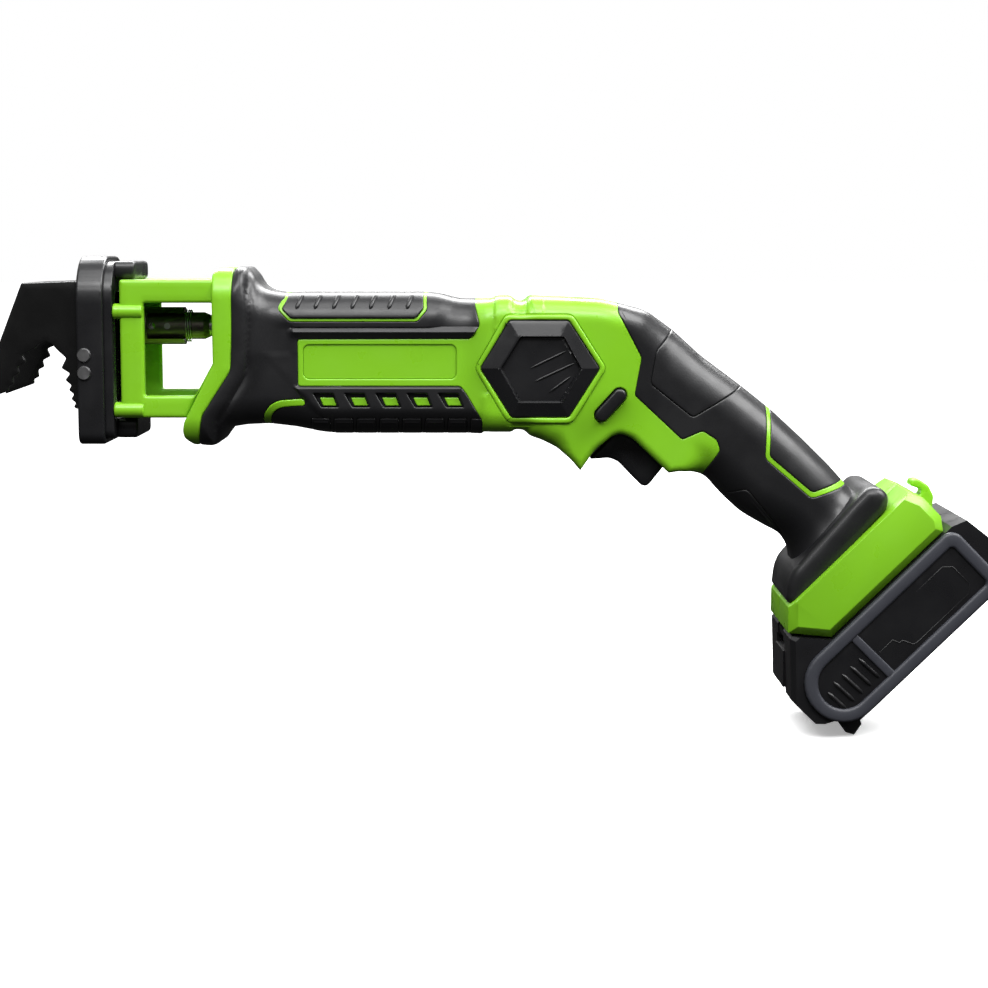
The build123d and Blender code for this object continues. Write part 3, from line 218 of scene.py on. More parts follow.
def corner_arcs(corners, steps=8):
    """Outline of quarter circles, each given by its centre, radius and starting angle."""
    out = []
    for cx, cz, r, start in corners:
        for k in range(steps + 1):
            a = math.radians(start + 90 * k / steps)
            out.append((cx + r * math.cos(a), cz + r * math.sin(a)))
    return np.array(out)


def resample(line, step, closed=True):
    """The outline as points no more than one step apart."""
    pts = np.array(line, float)
    if closed:
        pts = np.vstack([pts, pts[:1]])
    out = []
    for a, b in zip(pts[:-1], pts[1:]):
        gap = np.linalg.norm(b - a)
        if gap < 1e-6:
            continue
        n = max(1, math.ceil(gap / step))
        out += [a + (b - a) * i / n for i in range(n)]
    if not closed:
        out.append(pts[-1])
    return np.array(out)


def pieces_of(line, closed=True):
    """The outline's straight pieces, as an array of point pairs."""
    pts = np.array(line, float)
    nxt = np.roll(pts, -1, 0)
    return np.stack([pts, nxt], 1) if closed else np.stack([pts[:-1], pts[1:]], 1)


def distance(points, segs, limit=30.0):
    """Distance of each point to the nearest of the straight pieces, limit if that is farther."""
    a, ab = segs[:, 0], segs[:, 1] - segs[:, 0]
    length2 = np.maximum((ab ** 2).sum(1), 1e-12)
    low, high = segs[:, :, 0].min(1) - limit, segs[:, :, 0].max(1) + limit
    out = np.full(len(points), float(limit))
    order = np.argsort(points[:, 0])
    for i in range(0, len(points), 300):
        rows = order[i:i + 300]
        near = (high > points[rows[0], 0]) & (low < points[rows[-1], 0])
        if near.any():
            q = points[rows, None] - a[None, near]
            t = np.clip((q * ab[near]).sum(2) / length2[near], 0, 1)
            gaps = np.sqrt(((q - t[..., None] * ab[near]) ** 2).sum(2).min(1))
            out[rows] = np.minimum(gaps, limit)
    return out


def within(points, loop):
    """Which of the points lie inside the loop."""
    x, z = points[:, 0], points[:, 1]
    odd = np.zeros(len(points), bool)
    for (x0, z0), (x1, z1) in pieces_of(loop):
        if z0 != z1:
            odd ^= ((z0 > z) != (z1 > z)) & (x < (x1 - x0) * (z - z0) / (z1 - z0) + x0)
    return odd


def smooth(value, low, high):
    """0 below low, 1 above high and a soft rise between."""
    t = np.clip((value - low) / (high - low), 0, 1)
    return t * t * (3 - 2 * t)


print("a square's side is found at", distance(np.array([[0.0, 3.0]]), pieces_of([(-1, 0), (1, 0), (1, -2)])))

# %% [markdown]
# ## Filling outlines with triangles
# A constrained Delaunay fill keeps every outline as an exact mesh edge. Extra rows of points
# follow each outline at small distances, so that an edge can be rounded over by real geometry.

# %% The fill
def fill(loops, step, rings, crown=None, crown_rings=(), region=None, thin=1.0):
    """Points and triangles over all loops. The crown is a silhouette with wide rows of its own."""
    lines = [resample(loop, step) for loop in loops]
    points, edges = [], []
    for line in lines:
        first, n = len(points), len(line)
        points += list(line)
        edges += [(first + i, first + (i + 1) % n) for i in range(n)]
    segs = np.vstack([pieces_of(line) for line in lines])
    extra = []

    def rows(lines_in, depths, clear):
        for line in lines_in:
            a, b = line, np.roll(line, -1, 0)
            along = (b - a) / np.maximum(np.linalg.norm(b - a, axis=1), 1e-9)[:, None]
            normal = np.stack([-along[:, 1], along[:, 0]], 1)
            corner = normal + np.roll(normal, 1, 0)
            corner /= np.maximum(np.linalg.norm(corner, axis=1), 1e-9)[:, None]
            own = pieces_of(line)
            for depth in depths:
                for hand in (-1, 1):
                    p = np.vstack([a + corner * hand * depth, (a + b) / 2 + normal * hand * depth])
                    reach = 1.5 * depth + 0.1
                    keep = distance(p, own, reach) > 0.96 * depth
                    keep &= distance(p, segs, reach) > clear(depth)
                    extra.append(p[keep])

    rows(lines, rings, lambda d: 0.96 * d)
    if crown is not None:
        rows([resample(crown, step)], crown_rings, lambda d: min(0.96 * d, rings[-1] * 1.2))
    low, high = region.min(0), region.max(0)
    pitch = step * thin
    gx, gz = np.meshgrid(np.arange(low[0], high[0], pitch), np.arange(low[1], high[1], pitch * 0.866))
    gx = gx + (np.arange(gx.shape[0]) % 2)[:, None] * pitch / 2
    grid = np.stack([gx.ravel(), gz.ravel()], 1)
    clearance = rings[-1] + 0.35 * pitch
    extra.append(grid[distance(grid, segs, clearance + 0.1) > clearance])
    extra = np.vstack(extra)
    extra = extra[within(extra, region)]
    points = np.vstack([np.array(points), extra])
    made = geometry.delaunay_2d_cdt([Vector(p) for p in points], edges, [], 0, 1e-4, False)
    co = np.array([tuple(v) for v in made[0]])
    tri = np.array(made[2], int)
    turn = np.cross(co[tri[:, 1]] - co[tri[:, 0]], co[tri[:, 2]] - co[tri[:, 0]])
    tri[turn < 0] = tri[turn < 0][:, ::-1]
    tri = tri[np.abs(turn) > 1e-7]
    return co, tri


def boundary(tri):
    """Directed edges that only one triangle has."""
    e = np.vstack([tri[:, [0, 1]], tri[:, [1, 2]], tri[:, [2, 0]]])
    key = np.sort(e, 1)
    _, index, count = np.unique(key, axis=0, return_index=True, return_counts=True)
    return e[index[count == 1]]


def edge_drop(d, width):
    """How far a surface falls below its height, d away from an edge rounded over that width."""
    t = np.clip(1 - d / width, 0, 1)
    return width * (1 - np.sqrt(np.maximum(1 - t * t, 0)))


# %% [markdown]
# ## Rounded blocks
# Many pieces are a flat outline with thickness and rolled edges: the claw's plates, the nose
# cage, the trigger, the battery's bumpers. A block fills the outline, lifts both faces, rolls
# them down to the rim and closes the rim, so each result is one clean closed body.

# %% Block and object helpers
def block(loops, half, roll, middle=0.0, step=1.6, axes="xyz"):
    """Closed body over the outer loop less the inner ones, |y - middle| up to half."""
    loops = [np.array(loop, float) for loop in loops]
    rings = tuple(roll * f for f in (0.03, 0.13, 0.3, 0.55, 1.0))
    co, tri = fill(loops, step, rings, region=loops[0], thin=2.2)
    centre = co[tri].mean(1)
    keep = within(centre, loops[0])
    for hole in loops[1:]:
        keep &= ~within(centre, hole)
    tri = tri[keep]
    used, inverse = np.unique(tri, return_inverse=True)
    tri = inverse.reshape(-1, 3)
    p = co[used]
    d = distance(p, np.vstack([pieces_of(loop) for loop in loops]))
    rise = half - edge_drop(d, roll)
    n = len(p)
    verts = np.zeros((2 * n, 3))
    verts[:n, 0] = verts[n:, 0] = p[:, 0]
    verts[:n, 2] = verts[n:, 2] = p[:, 1]
    verts[:n, 1], verts[n:, 1] = middle - rise, middle + rise
    faces = [tuple(t) for t in tri] + [tuple(t[::-1] + n) for t in tri]
    faces += [(a, a + n, b + n, b) for a, b in boundary(tri)]
    if axes == "yxz":        # drawn from the front: outline in (y, z), thickness along x
        verts = verts[:, [1, 0, 2]]
        faces = [f[::-1] for f in faces]
    return verts, faces


def joined(*bodies):
    """Several bodies as one list of vertices and faces."""
    verts, faces, n = [], [], 0
    for v, f in bodies:
        verts.append(v)
        faces += [tuple(i + n for i in face) for face in f]
        n += len(v)
    return np.vstack(verts), faces


def mirrored(body):
    """The body on the other side of the tool."""
    verts, faces = body
    return verts * (1, -1, 1), [f[::-1] for f in faces]


def on_side(body, hand):
    """A body drawn for the left side, or its mirror image for the right."""
    return body if hand == "left" else mirrored(body)


def add_to_frame(mesh, name, slot, rides, replaces, sharp):
    """Shades the mesh, gives it its finish and hangs it on the frame's body."""
    mesh.polygons.foreach_set("use_smooth", [True] * len(mesh.polygons))
    mesh.set_sharp_from_angle(angle=math.radians(sharp))
    mesh.materials.append(materials[slot])
    obj = bpy.data.objects.new(name, mesh)
    bpy.context.scene.collection.objects.link(obj)
    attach(obj, rides)
    if replaces:
        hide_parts(*replaces)
    print(f"{name}: {len(mesh.polygons)} faces")


def piece(name, body, slot, rides="body", replaces=(), sharp=40):
    """A finished object from millimetre vertices, riding on a CAD body."""
    verts, faces = body
    mesh = bpy.data.meshes.new(name)
    mesh.from_pydata((verts * MM).tolist(), [], [tuple(int(i) for i in f) for f in faces])
    mesh.validate()
    add_to_frame(mesh, name, slot, rides, replaces, sharp)


# %% [markdown]
# ## The main shell
# Barrel, gear case and handle are one moulding. Its half-width varies along the tool and every
# point is pulled in near the silhouette, so the section is full in the middle and round at the
# top and bottom. The pulling-in is a quarter circle whose radius also varies: wide on the
# handle, tight round the trigger.

# %% Silhouette and section of the shell
top_line = [(44.4, 26.0), (47, 27.8), (50.2, 27.6), (53.4, 24.2), (55.8, 19.8), (59.8, 17.0),
            (66.3, 15.6), (74, 15.8), (132, 15.8), (139, 15.2), (148.5, 12.7), (156, 12.6),
            (163.5, 12.6), (166.2, 13.9), (172.3, 14.0), (175, 11.9), (177.3, 11.2), (179.5, 12.2),
            (181.4, 14.0), (187, 13.8), (200, 13.3), (214.7, 12.6), (225.1, 10.1), (235.9, 7.3),
            (248.8, -1.9), (262.1, -14.0), (281.2, -28.1), (295.6, -39.6), (310, -52.8), (323, -65.5),
            (332, -75.5), (338, -80.5), (346, -84)]
end_line = [(346, -84), (303, -127)]
grip_front = [(303, -127), (302.5, -122.4), (305.3, -117), (306.2, -111.8), (305, -105), (300.6, -98.2),
              (291.6, -93.6), (281.5, -87.8), (272.5, -79.5), (264.5, -70.5), (258, -67.8),
              (251.5, -67.4), (246.5, -68.2)]
trigger_edge = [(246.5, -68.2), (236, -58.3), (229.1, -51.6), (223.5, -49.6), (219.8, -50.7),
                (211.5, -57.2), (204.9, -66.6)]
under_line = [(204.9, -66.6), (200.2, -61.0), (194, -55.8), (187, -52.3), (181.5, -50.4),
              (178.5, -47.6), (174.5, -47.4), (172.8, -48.6), (160, -48.6), (159, -49.6), (91, -49.6),
              (84, -48.8), (72.7, -46.6), (60, -45.1), (49.5, -45.6), (42.2, -46.6), (39.4, -49.8),
              (36, -54.6), (33, -55.2), (27.9, -54.7)]
nose_line = [(27.9, -54.7), (30.2, -40.4), (36, -31.5), (43.2, -20.5), (43.9, -17), (44.4, 0),
             (44.4, 26.0)]


def chain(*lines):
    """Lines that meet end to end, as one closed outline."""
    out = []
    for line in lines:
        out += list(line[:-1])
    return out


outer_top = rounded(top_line, 3.0, closed=False)
outer_grip = rounded(grip_front, 4.0, closed=False)
outer_trigger = rounded(trigger_edge, 2.5, closed=False)
outer_under = rounded(under_line, 1.5, closed=False)
outer_nose = rounded(nose_line, 3.0, closed=False)
silhouette = np.array(chain(outer_top, np.array(end_line), outer_grip, outer_trigger, outer_under,
                            outer_nose))
outer_segs = np.vstack([pieces_of(line, False)
                        for line in (outer_top, outer_grip, outer_trigger, outer_under)])
trigger_segs = pieces_of(outer_trigger, False)
print("silhouette:", len(silhouette), "points")

# %% [markdown]
# The moulding is widest at the flare behind the nose, slimmer along the barrel, wide again at
# the gear case and slim at the grip. Formulas give its half-width, so that the changes are as
# soft as in the real moulding; a loft through sections would need many sections for that.

# %% Half-width and roundings
flare_half, flare_fall = 29.8, 4.0      # at the lip, and how much less behind it
barrel_half, gear_gain = 25.8, 3.0      # along the barrel, and how much more at the gear case
grip_half, heel_gain = 19.2, 8.5        # along the grip, and how much more at its heel
trigger_waist = 4.5                     # how much the case narrows at the trigger
trigger_reach = 22                      # how far from the trigger it begins to narrow


def half_width(p):
    """Half-width of the case before its edges are rounded."""
    x, z = p[:, 0], p[:, 1]
    flare = flare_half - flare_fall * smooth(x - 0.35 * (z + 12) * (z < -12), 49, 64)
    case = barrel_half + gear_gain * smooth(x, 150, 164)
    t = x * 0.70091 - z * 0.71325
    along = smooth(x - 0.25 * z, 214, 252)
    grip = grip_half + heel_gain * smooth(t, 283, 305) ** 1.5
    case = case - trigger_waist * smooth(trigger_reach - distance(p, trigger_segs), 0, trigger_reach)
    width = np.where(x < 100, flare, case)
    return width * (1 - along) + grip * along


def round_over(p):
    """Radius of the rounding at the silhouette."""
    x, z = p[:, 0], p[:, 1]
    r = 13.5 - 3.5 * smooth(x, 152, 166) + 6.5 * smooth(x - 0.25 * z, 218, 250)
    near = smooth(distance(p, trigger_segs), 6, 20)
    return 3.2 * (1 - near) + r * near


def shell_height(p):
    """How far the bare shell stands from the middle plane."""
    d = distance(p, outer_segs)
    r = round_over(p)
    return half_width(p) - edge_drop(d, r)


print("widest half-width:", round(float(half_width(silhouette).max()), 1))

# %% [markdown]
# ## Regions of colour and soft skin
# The green nylon shell carries black elastomer that is moulded over it in two places: round
# the barrel and along the grip. Each patch has its own outline, its own lift above the shell
# and a rolled edge, so a fine groove forms wherever two patches meet.

# %% Outlines on the barrel
barrel_black = [(20, 60), (156.2, 60), (156.0, 10.3), (158.3, 1.0), (154.1, -5.2), (74.4, -5.4),
                (74.4, -27.0), (149.3, -27.0), (152.0, -30.5), (159.4, -43.0), (159.4, -80), (10, -80)]
panel = [(76.9, -9.6), (78.6, -7.9), (145.7, -7.9), (147.4, -9.6), (147.4, -22.0), (145.7, -23.7),
         (78.6, -23.7), (76.9, -22.0)]
pad = [(69.7, 40), (69.7, 13.2), (67.2, 8.6), (71.4, 4.2), (128.9, 4.2), (132.4, 8.6), (132.2, 13),
       (132.2, 40)]
pad_trim = [(68.4, 42), (68.4, 13.6), (65.7, 8.4), (70.8, 2.8), (129.5, 2.8), (133.9, 8.2), (133.6, 13),
            (133.6, 42)]
swoosh = [(77.0, -32.8), (65.6, -33.6), (61.4, -35.8), (59.0, -39.0), (58.0, -42.2), (58.2, -60),
          (61.4, -60), (61.2, -42.2), (62.1, -39.9), (64.4, -37.7), (68.1, -36.5), (77.6, -35.9)]
# Each window pocket has black overmold walls. Its black floor, wide above and left of the green insert and
# narrow below and right of it, is painted shade from the pocket's upper wall.
first_pocket = [(81.4, -30.3), (90.6, -30.3), (93.1, -36.6), (85.1, -36.6)]
first_insert = [(84.3, -32.3), (90.7, -32.3), (92.1, -36.0), (86.0, -36.0)]
pocket_count, pocket_pitch = 5, 14.4
keel_count, keel_pitch, keel_start = 8, 10.55, 80.0
first_keel = [(0.4, -42.0), (8.9, -42.0), (8.5, -56), (-0.6, -56)]


def moved(line, run):
    """The outline moved along the barrel."""
    return [(x + run, z) for x, z in line]


pockets = [moved(first_pocket, pocket_pitch * i) for i in range(pocket_count)]
inserts = [moved(first_insert, pocket_pitch * i) for i in range(pocket_count)]
keels = [moved(first_keel, keel_start + keel_pitch * i) for i in range(keel_count)]
print("pockets:", len(pockets), "keel blocks:", len(keels))

# %% [markdown]
# The gear case has a raised rim round its hexagonal cover and a slot for the lock button. The
# rim is the cover's own outline drawn a little larger.

# %% Outlines on the gear case
hexagon = [(158.3, -18.6), (171.6, 3.6), (199.1, 3.6), (213.6, -18.6), (199.3, -41.3), (172.6, -41.3)]
hex_rim = [(155.9, -18.6), (170.0, 6.1), (200.6, 6.1), (216.4, -18.6), (200.8, -43.9), (171.1, -43.9)]


def obround(cx, cz, length, width, tilt_deg):
    """A slot outline with round ends."""
    t, r = math.radians(tilt_deg), width / 2
    out = []
    for i in range(32):
        a = 2 * math.pi * (i + 0.5) / 32
        u = r * math.cos(a) + math.copysign(length / 2 - r, math.cos(a))
        v = r * math.sin(a)
        out.append((cx + u * math.cos(t) - v * math.sin(t), cz + u * math.sin(t) + v * math.cos(t)))
    return np.array(out)


lock_x, lock_z, lock_tilt = 218.6, -35.8, 47.5
lock_hole = obround(lock_x, lock_z, 19.4, 7.4, lock_tilt)
print("lock slot:", len(lock_hole), "points")

# %% [markdown]
# The grip's skin has raised pads where palm and fingers press. Their outlines run out past the
# silhouette, which cuts them, so that each pad wraps over the edge of the grip.

# %% Outlines on the grip
grip = [(222.5, 40), (221.7, 6.9), (233.0, -14.0), (229.9, -31.4), (252.4, -52.4), (261.9, -48.2),
        (268.4, -52.4), (270.2, -57.4), (263.0, -68.6), (262, -160), (400, -160), (400, 40)]
upper_pad = [(262, 20), (247.6, -2.2), (240.0, -11.0), (237.4, -26.2), (257.3, -42.0), (281.4, -27.6),
             (300, 0)]
lower_pad = [(310, -20), (294.4, -38.2), (293.2, -60.2), (313.4, -77.2), (331.2, -71.6), (360, -60)]
lower_trim = [(305, -18), (292.6, -37.0), (291.2, -61.2), (313.0, -79.9), (333.6, -73.4), (366, -62)]
finger_pad = [(264, -90), (272.4, -78.5), (283.0, -75.6), (291.7, -86.0), (302.0, -98.6), (290, -112)]
print("grip outlines:", len([grip, upper_pad, lower_pad, lower_trim, finger_pad]))

# %% [markdown]
# One fill carries all outlines at once, so neighbouring patches share their edges exactly. Each
# triangle then belongs to the patch whose outline holds its middle.

# %% Fill the side and sort its triangles
loops = {
    "barrel_black": rounded(barrel_black, 1.5), "panel": rounded(panel, 1.0), "pad": rounded(pad, 1.0),
    "pad_trim": rounded(pad_trim, 1.4), "swoosh": rounded(swoosh, 2.0), "hexagon": rounded(hexagon, 1.6),
    "hex_rim": rounded(hex_rim, 2.6), "lock_hole": lock_hole, "grip": rounded(grip, 1.4),
    "upper_pad": rounded(upper_pad, 1.8), "lower_pad": rounded(lower_pad, 1.6),
    "lower_trim": rounded(lower_trim, 2.0), "finger_pad": rounded(finger_pad, 2.5),
}
loops["ridge"] = np.array([(72.0, 0.4), (157.6, 0.4), (155.8, -2.0), (72.0, -2.0)])
loops["ridge_foot"] = np.array([(72.0, -4.6), (154.8, -4.6), (154.8, -4.4), (72.0, -4.4)])
loops["low_brow"] = np.array([(72.6, -28.2), (150.4, -28.2), (150.2, -27.6), (72.6, -27.6)])
for i in range(keel_count):
    loops[f"keel_{i}"] = rounded(keels[i], 0.8)
for i in range(pocket_count):
    loops[f"pocket_{i}"] = rounded(pockets[i], 0.5)
    loops[f"insert_{i}"] = rounded(inserts[i], 0.5)
shell_co, shell_tri = fill([silhouette] + list(loops.values()), 1.5, (0.05, 0.2, 0.45, 0.8), crown=silhouette,
                           crown_rings=(1.2, 2.0, 3.0, 4.3, 6.0, 8.2), region=silhouette, thin=1.1)
shell_mid = shell_co[shell_tri].mean(1)
inside = {name: within(shell_mid, loop) for name, loop in loops.items()}
in_shell = within(shell_mid, silhouette) & ~inside["lock_hole"] & ~inside["hexagon"]


def in_any(name, count):
    """Triangles in any of the outlines of that name."""
    return np.any([inside[f"{name}_{i}"] for i in range(count)], axis=0)


pocket = in_any("pocket", pocket_count)
insert = in_any("insert", pocket_count)
keel = in_any("keel", keel_count) & inside["barrel_black"]
print("shell triangles:", int(in_shell.sum()))

# %% [markdown]
# ## Heights of the patches
# Each patch adds its lift to the shell. The barrel's bands stand proud of the side panel and
# slope down to it, the flare has a rolled lip with a valley behind it, and two raised rings
# cross the gear case.

# %% Patch heights
nose_segs = pieces_of(outer_nose, False)


def band_lift(p):
    """The barrel's ridge above the panel, the low band below it and the shoulder by the pad."""
    x, z = p[:, 0], p[:, 1]
    ends = np.clip((x - 70.2) / 2.2, 0, 1) * np.clip((158.5 - x) / 3.0, 0, 1)
    ridge = np.interp(z, [-5.6, -4.6, -2.0, 0.4], [0.3, 0.5, 1.9, 0.0]) * ends
    low = np.interp(-z, [26.9, 28.2, 37.4, 38.6, 41.8, 43.2], [0.2, 1.3, 1.3, 1.3, 0.4, 0.2])
    low = low * np.clip((x + 0.9 * (z + 27) - 71.5) / 1.6, 0, 1)
    shoulder = 0.9 * np.clip((141 + 0.55 * (z - 0.7) - x) / 6.0, 0, 1) * np.clip((x - 65) / 8.0, 0, 1)
    shoulder = shoulder * (z > 0.4)
    return np.where(z > -12, ridge, 0) + np.where(z < -12, low, 0) + shoulder


def flare_lift(p):
    """The flare's rolled lip, the valley behind it and a low second roll."""
    d = distance(p, nose_segs)
    lip = 0.9 * np.sqrt(np.clip(1 - ((d - 3.4) / 3.4) ** 2, 0, 1)) * (d < 6.8)
    valley = -0.9 * np.exp(-((d - 7.4) / 1.1) ** 2)
    second = 0.35 * smooth(d, 8.5, 9.6) * (1 - smooth(d, 10.5, 13))
    return lip + valley + second


def ring_lift(p):
    """The two raised rings across the gear case, and the band that joins them underneath."""
    x, z = p[:, 0], p[:, 1]
    first = smooth(x, 164.6, 165.6) * (1 - smooth(x, 173.0, 174.0))
    second = smooth(x, 179.6, 180.6) * (1 - smooth(x, 187.0, 188.0))
    low = smooth(x, 158.8, 159.8) * (1 - smooth(x, 173.2, 174.2)) * (z < -30)
    return 0.8 * np.maximum(np.maximum(first, second) * (z > -30), low)


def barrel_lift(p):
    """The bands, and the flare's relief in front of them."""
    return band_lift(p) + flare_lift(p) * (p[:, 0] < 66)


def level(height):
    """A lift that is the same all over the patch."""
    return lambda p: np.full(len(p), height)


def part_of(name, *cut_out):
    """The shell's triangles in one outline, less those in others."""
    triangles = in_shell & inside[name]
    for other in cut_out:
        triangles = triangles & ~inside[other]
    return triangles


bare_shell = in_shell & ~inside["barrel_black"] & ~inside["grip"] & ~inside["hex_rim"] & ~inside["panel"]
barrel_body = part_of("barrel_black", "pad_trim", "swoosh") & ~pocket & ~keel
patches = [
    # name, piece that it belongs to, triangles, lift, edge roll
    ("shell", "case_shell", bare_shell, ring_lift, 0.5),
    ("panel", "case_shell", part_of("panel"), level(-0.7), 0.25),
    ("hex_rim", "case_shell", part_of("hex_rim"), level(1.3), 0.9),
    ("barrel", "barrel_skin", barrel_body, barrel_lift, 0.6),
    ("keel", "barrel_skin", in_shell & keel, lambda p: band_lift(p) + 0.7, 0.7),
    ("pad_trim", "case_shell", part_of("pad_trim", "pad"), level(1.3), 0.3),
    ("pad", "barrel_skin", part_of("pad"), level(2.3), 0.8),
    ("swoosh", "case_shell", part_of("swoosh") & inside["barrel_black"], level(0.5), 0.4),
    # pocket: the black floor round each green insert is partly the overmold and partly painted shade above
    # and left of the insert
    ("pocket", "barrel_skin", in_shell & pocket & ~insert, level(-1.2), 0.1),
    ("insert", "case_shell", in_shell & insert, level(-0.2), 0.35),
    ("grip", "grip_skin", part_of("grip", "upper_pad", "lower_trim", "finger_pad"), level(0.3), 0.6),
    ("upper_pad", "grip_skin", part_of("upper_pad"), level(0.6), 0.7),
    ("lower_trim", "case_shell", part_of("lower_trim", "lower_pad"), level(0.25), 0.35),
    ("lower_pad", "grip_skin", part_of("lower_pad"), level(0.6), 0.7),
    ("finger_pad", "grip_skin", part_of("finger_pad") & inside["grip"], level(0.5), 0.6),
]
print("patches:", len(patches))

# %% [markdown]
# ## Raising the patches
# A patch's triangles are lifted to their height and rolled off along every seam. Where the
# patch reaches the silhouette it goes on as a wall to the middle of the tool, with a small
# step at the joint line, and leaves the slot for the trigger open.

# %% The raised patch
slot_half = 8.4                         # half the width of the trigger's slot
trigger_slot = (207.0, 243.5)           # where the slot begins and ends along the case
groove_half, groove_depth = 0.45, 0.4   # the joint line between the two halves


def raise_patch(triangles, lift, roll):
    """Open skin of one patch on the left side, with its wall to the middle of the tool."""
    tri = shell_tri[triangles]
    used, inverse = np.unique(tri, return_inverse=True)
    tri = inverse.reshape(-1, 3)
    p = shell_co[used]
    edges = boundary(tri)
    on_outer = distance(p, outer_segs) < 0.02
    middle = (p[edges[:, 0]] + p[edges[:, 1]]) / 2
    is_wall = on_outer[edges[:, 0]] & on_outer[edges[:, 1]] & (distance(middle, outer_segs) < 0.05)
    seam = edges[~is_wall]
    drop = np.zeros(len(p))
    if len(seam):
        drop = edge_drop(distance(p, p[seam]), roll)
    y = np.maximum(shell_height(p) + lift(p) - drop, 0.6)
    n = len(p)
    verts = [np.stack([p[:, 0], -y, p[:, 1]], 1)]
    faces = [tuple(t) for t in tri]
    walls = edges[is_wall]
    if len(walls):
        ends = np.unique(walls)
        inward = np.zeros((n, 2))
        for a, b in walls:
            run = p[b] - p[a]
            side = np.array([-run[1], run[0]]) / max(np.linalg.norm(run), 1e-9)
            inward[a] += side
            inward[b] += side
        inward /= np.maximum(np.linalg.norm(inward, axis=1), 1e-9)[:, None]
        levels = ((slot_half, 0), (groove_half, 0), (0.02, groove_depth))
        place = {v: i for i, v in enumerate(ends)}
        for row, (height, shift) in enumerate(levels):
            depth = np.minimum(y[ends], height) if row == 0 else np.full(len(ends), height)
            q = p[ends] + inward[ends] * shift
            verts.append(np.stack([q[:, 0], -depth, q[:, 1]], 1))
        for a, b in walls:
            mid_x = (p[a, 0] + p[b, 0]) / 2
            mid_z = (p[a, 1] + p[b, 1]) / 2
            slotted = trigger_slot[0] < mid_x < trigger_slot[1] and mid_z < -45
            ia, ib = [a], [b]
            for row in range(len(levels)):
                ia.append(n + row * len(ends) + place[a])
                ib.append(n + row * len(ends) + place[b])
            for row in range(1 if slotted else len(levels)):
                faces.append((ia[row], ia[row + 1], ib[row + 1], ib[row]))
    return np.vstack(verts), faces


def thicken(body, thickness):
    """Gives an open skin its wall, inwards, with a closed rim."""
    verts, faces = body
    mesh = bpy.data.meshes.new("skin")
    mesh.from_pydata(verts.tolist(), [], [tuple(int(i) for i in f) for f in faces])
    obj = bpy.data.objects.new("skin", mesh)
    bpy.context.scene.collection.objects.link(obj)
    wall = obj.modifiers.new("wall", "SOLIDIFY")
    wall.thickness = thickness
    wall.offset = -1.0
    done = bpy.data.meshes.new_from_object(obj.evaluated_get(bpy.context.evaluated_depsgraph_get()))
    bpy.data.objects.remove(obj)
    out = np.array([v.co for v in done.vertices])
    n = len(verts)
    if len(out) == 2 * n:    # corner normals can throw the wall's inner side past the silhouette
        stray = ~within(out[n:, [0, 2]], silhouette)
        out[n:][stray] = verts[stray] * (1, 0.9, 1)
    return out, [tuple(f.vertices) for f in done.polygons]


wall_thickness = 2.0
skins = {}
for name, skin, triangles, lift, roll in patches:
    verts, faces = thicken(raise_patch(triangles, lift, roll), wall_thickness)
    skins.setdefault(skin, []).append((verts, faces))
    print(name, len(faces), "faces, widest", round(float(-verts[:, 1].min()), 1))

# %% [markdown]
# ## Base flange and foot
# The grip ends in a rolled black flange on a green foot that carries the battery's rails. The
# flange is a rounded block. The foot is cut from the frame's own shell, so that its rails stay
# exact, and its sharp edges are bevelled.

# %% Flange and foot
tilt = math.radians(44.5)


def pack_to_side(points):
    """Battery coordinates, s along the rails and t away from the foot, to the side plane."""
    s, t = np.array(points, float).T
    return np.stack([s * math.cos(tilt) + t * math.sin(tilt), s * math.sin(tilt) - t * math.cos(tilt)], 1)


flange_line = [(301.6, -118.6), (300.7, -127.0), (305.2, -129.8), (311.5, -124.9), (347.2, -84.0),
               (347.9, -77.9), (343.9, -73.9), (337.8, -73.7), (331.0, -81.0), (303.5, -113.0)]
flange = block([rounded(flange_line, 4.0)], 29.4, 4.2)


def cut_from(node, point, normal):
    """A frame node's solid on one side of a plane, closed and with flat faces merged."""
    bm = bmesh.new()
    bm.from_mesh(frame["nodes"][node].data)
    bmesh.ops.remove_doubles(bm, verts=bm.verts, dist=2e-6)
    everything = list(bm.verts) + list(bm.edges) + list(bm.faces)
    cut = bmesh.ops.bisect_plane(bm, geom=everything, dist=1e-7, plane_co=point, plane_no=normal,
                                 clear_inner=True)
    rim = [e for e in cut["geom_cut"] if isinstance(e, bmesh.types.BMEdge)]
    bmesh.ops.triangle_fill(bm, use_beauty=True, edges=rim)
    bmesh.ops.dissolve_limit(bm, angle_limit=math.radians(1.0), verts=bm.verts, edges=bm.edges)
    return bm


def bevelled(bm, width, name, slot):
    """A cut solid as a finished object on the body, its long sharp edges bevelled."""
    sharp_edge = math.radians(35)
    edges = [e for e in bm.edges if len(e.link_faces) == 2 and e.calc_face_angle(0) > sharp_edge
             and e.calc_length() > 3 * width]
    bmesh.ops.bevel(bm, geom=edges, offset=width, segments=3, profile=0.5, affect="EDGES", clamp_overlap=True)
    bmesh.ops.triangulate(bm, faces=bm.faces)
    mesh = bpy.data.meshes.new(name)
    bm.to_mesh(mesh)
    bm.free()
    add_to_frame(mesh, name, slot, "body", (), 30)


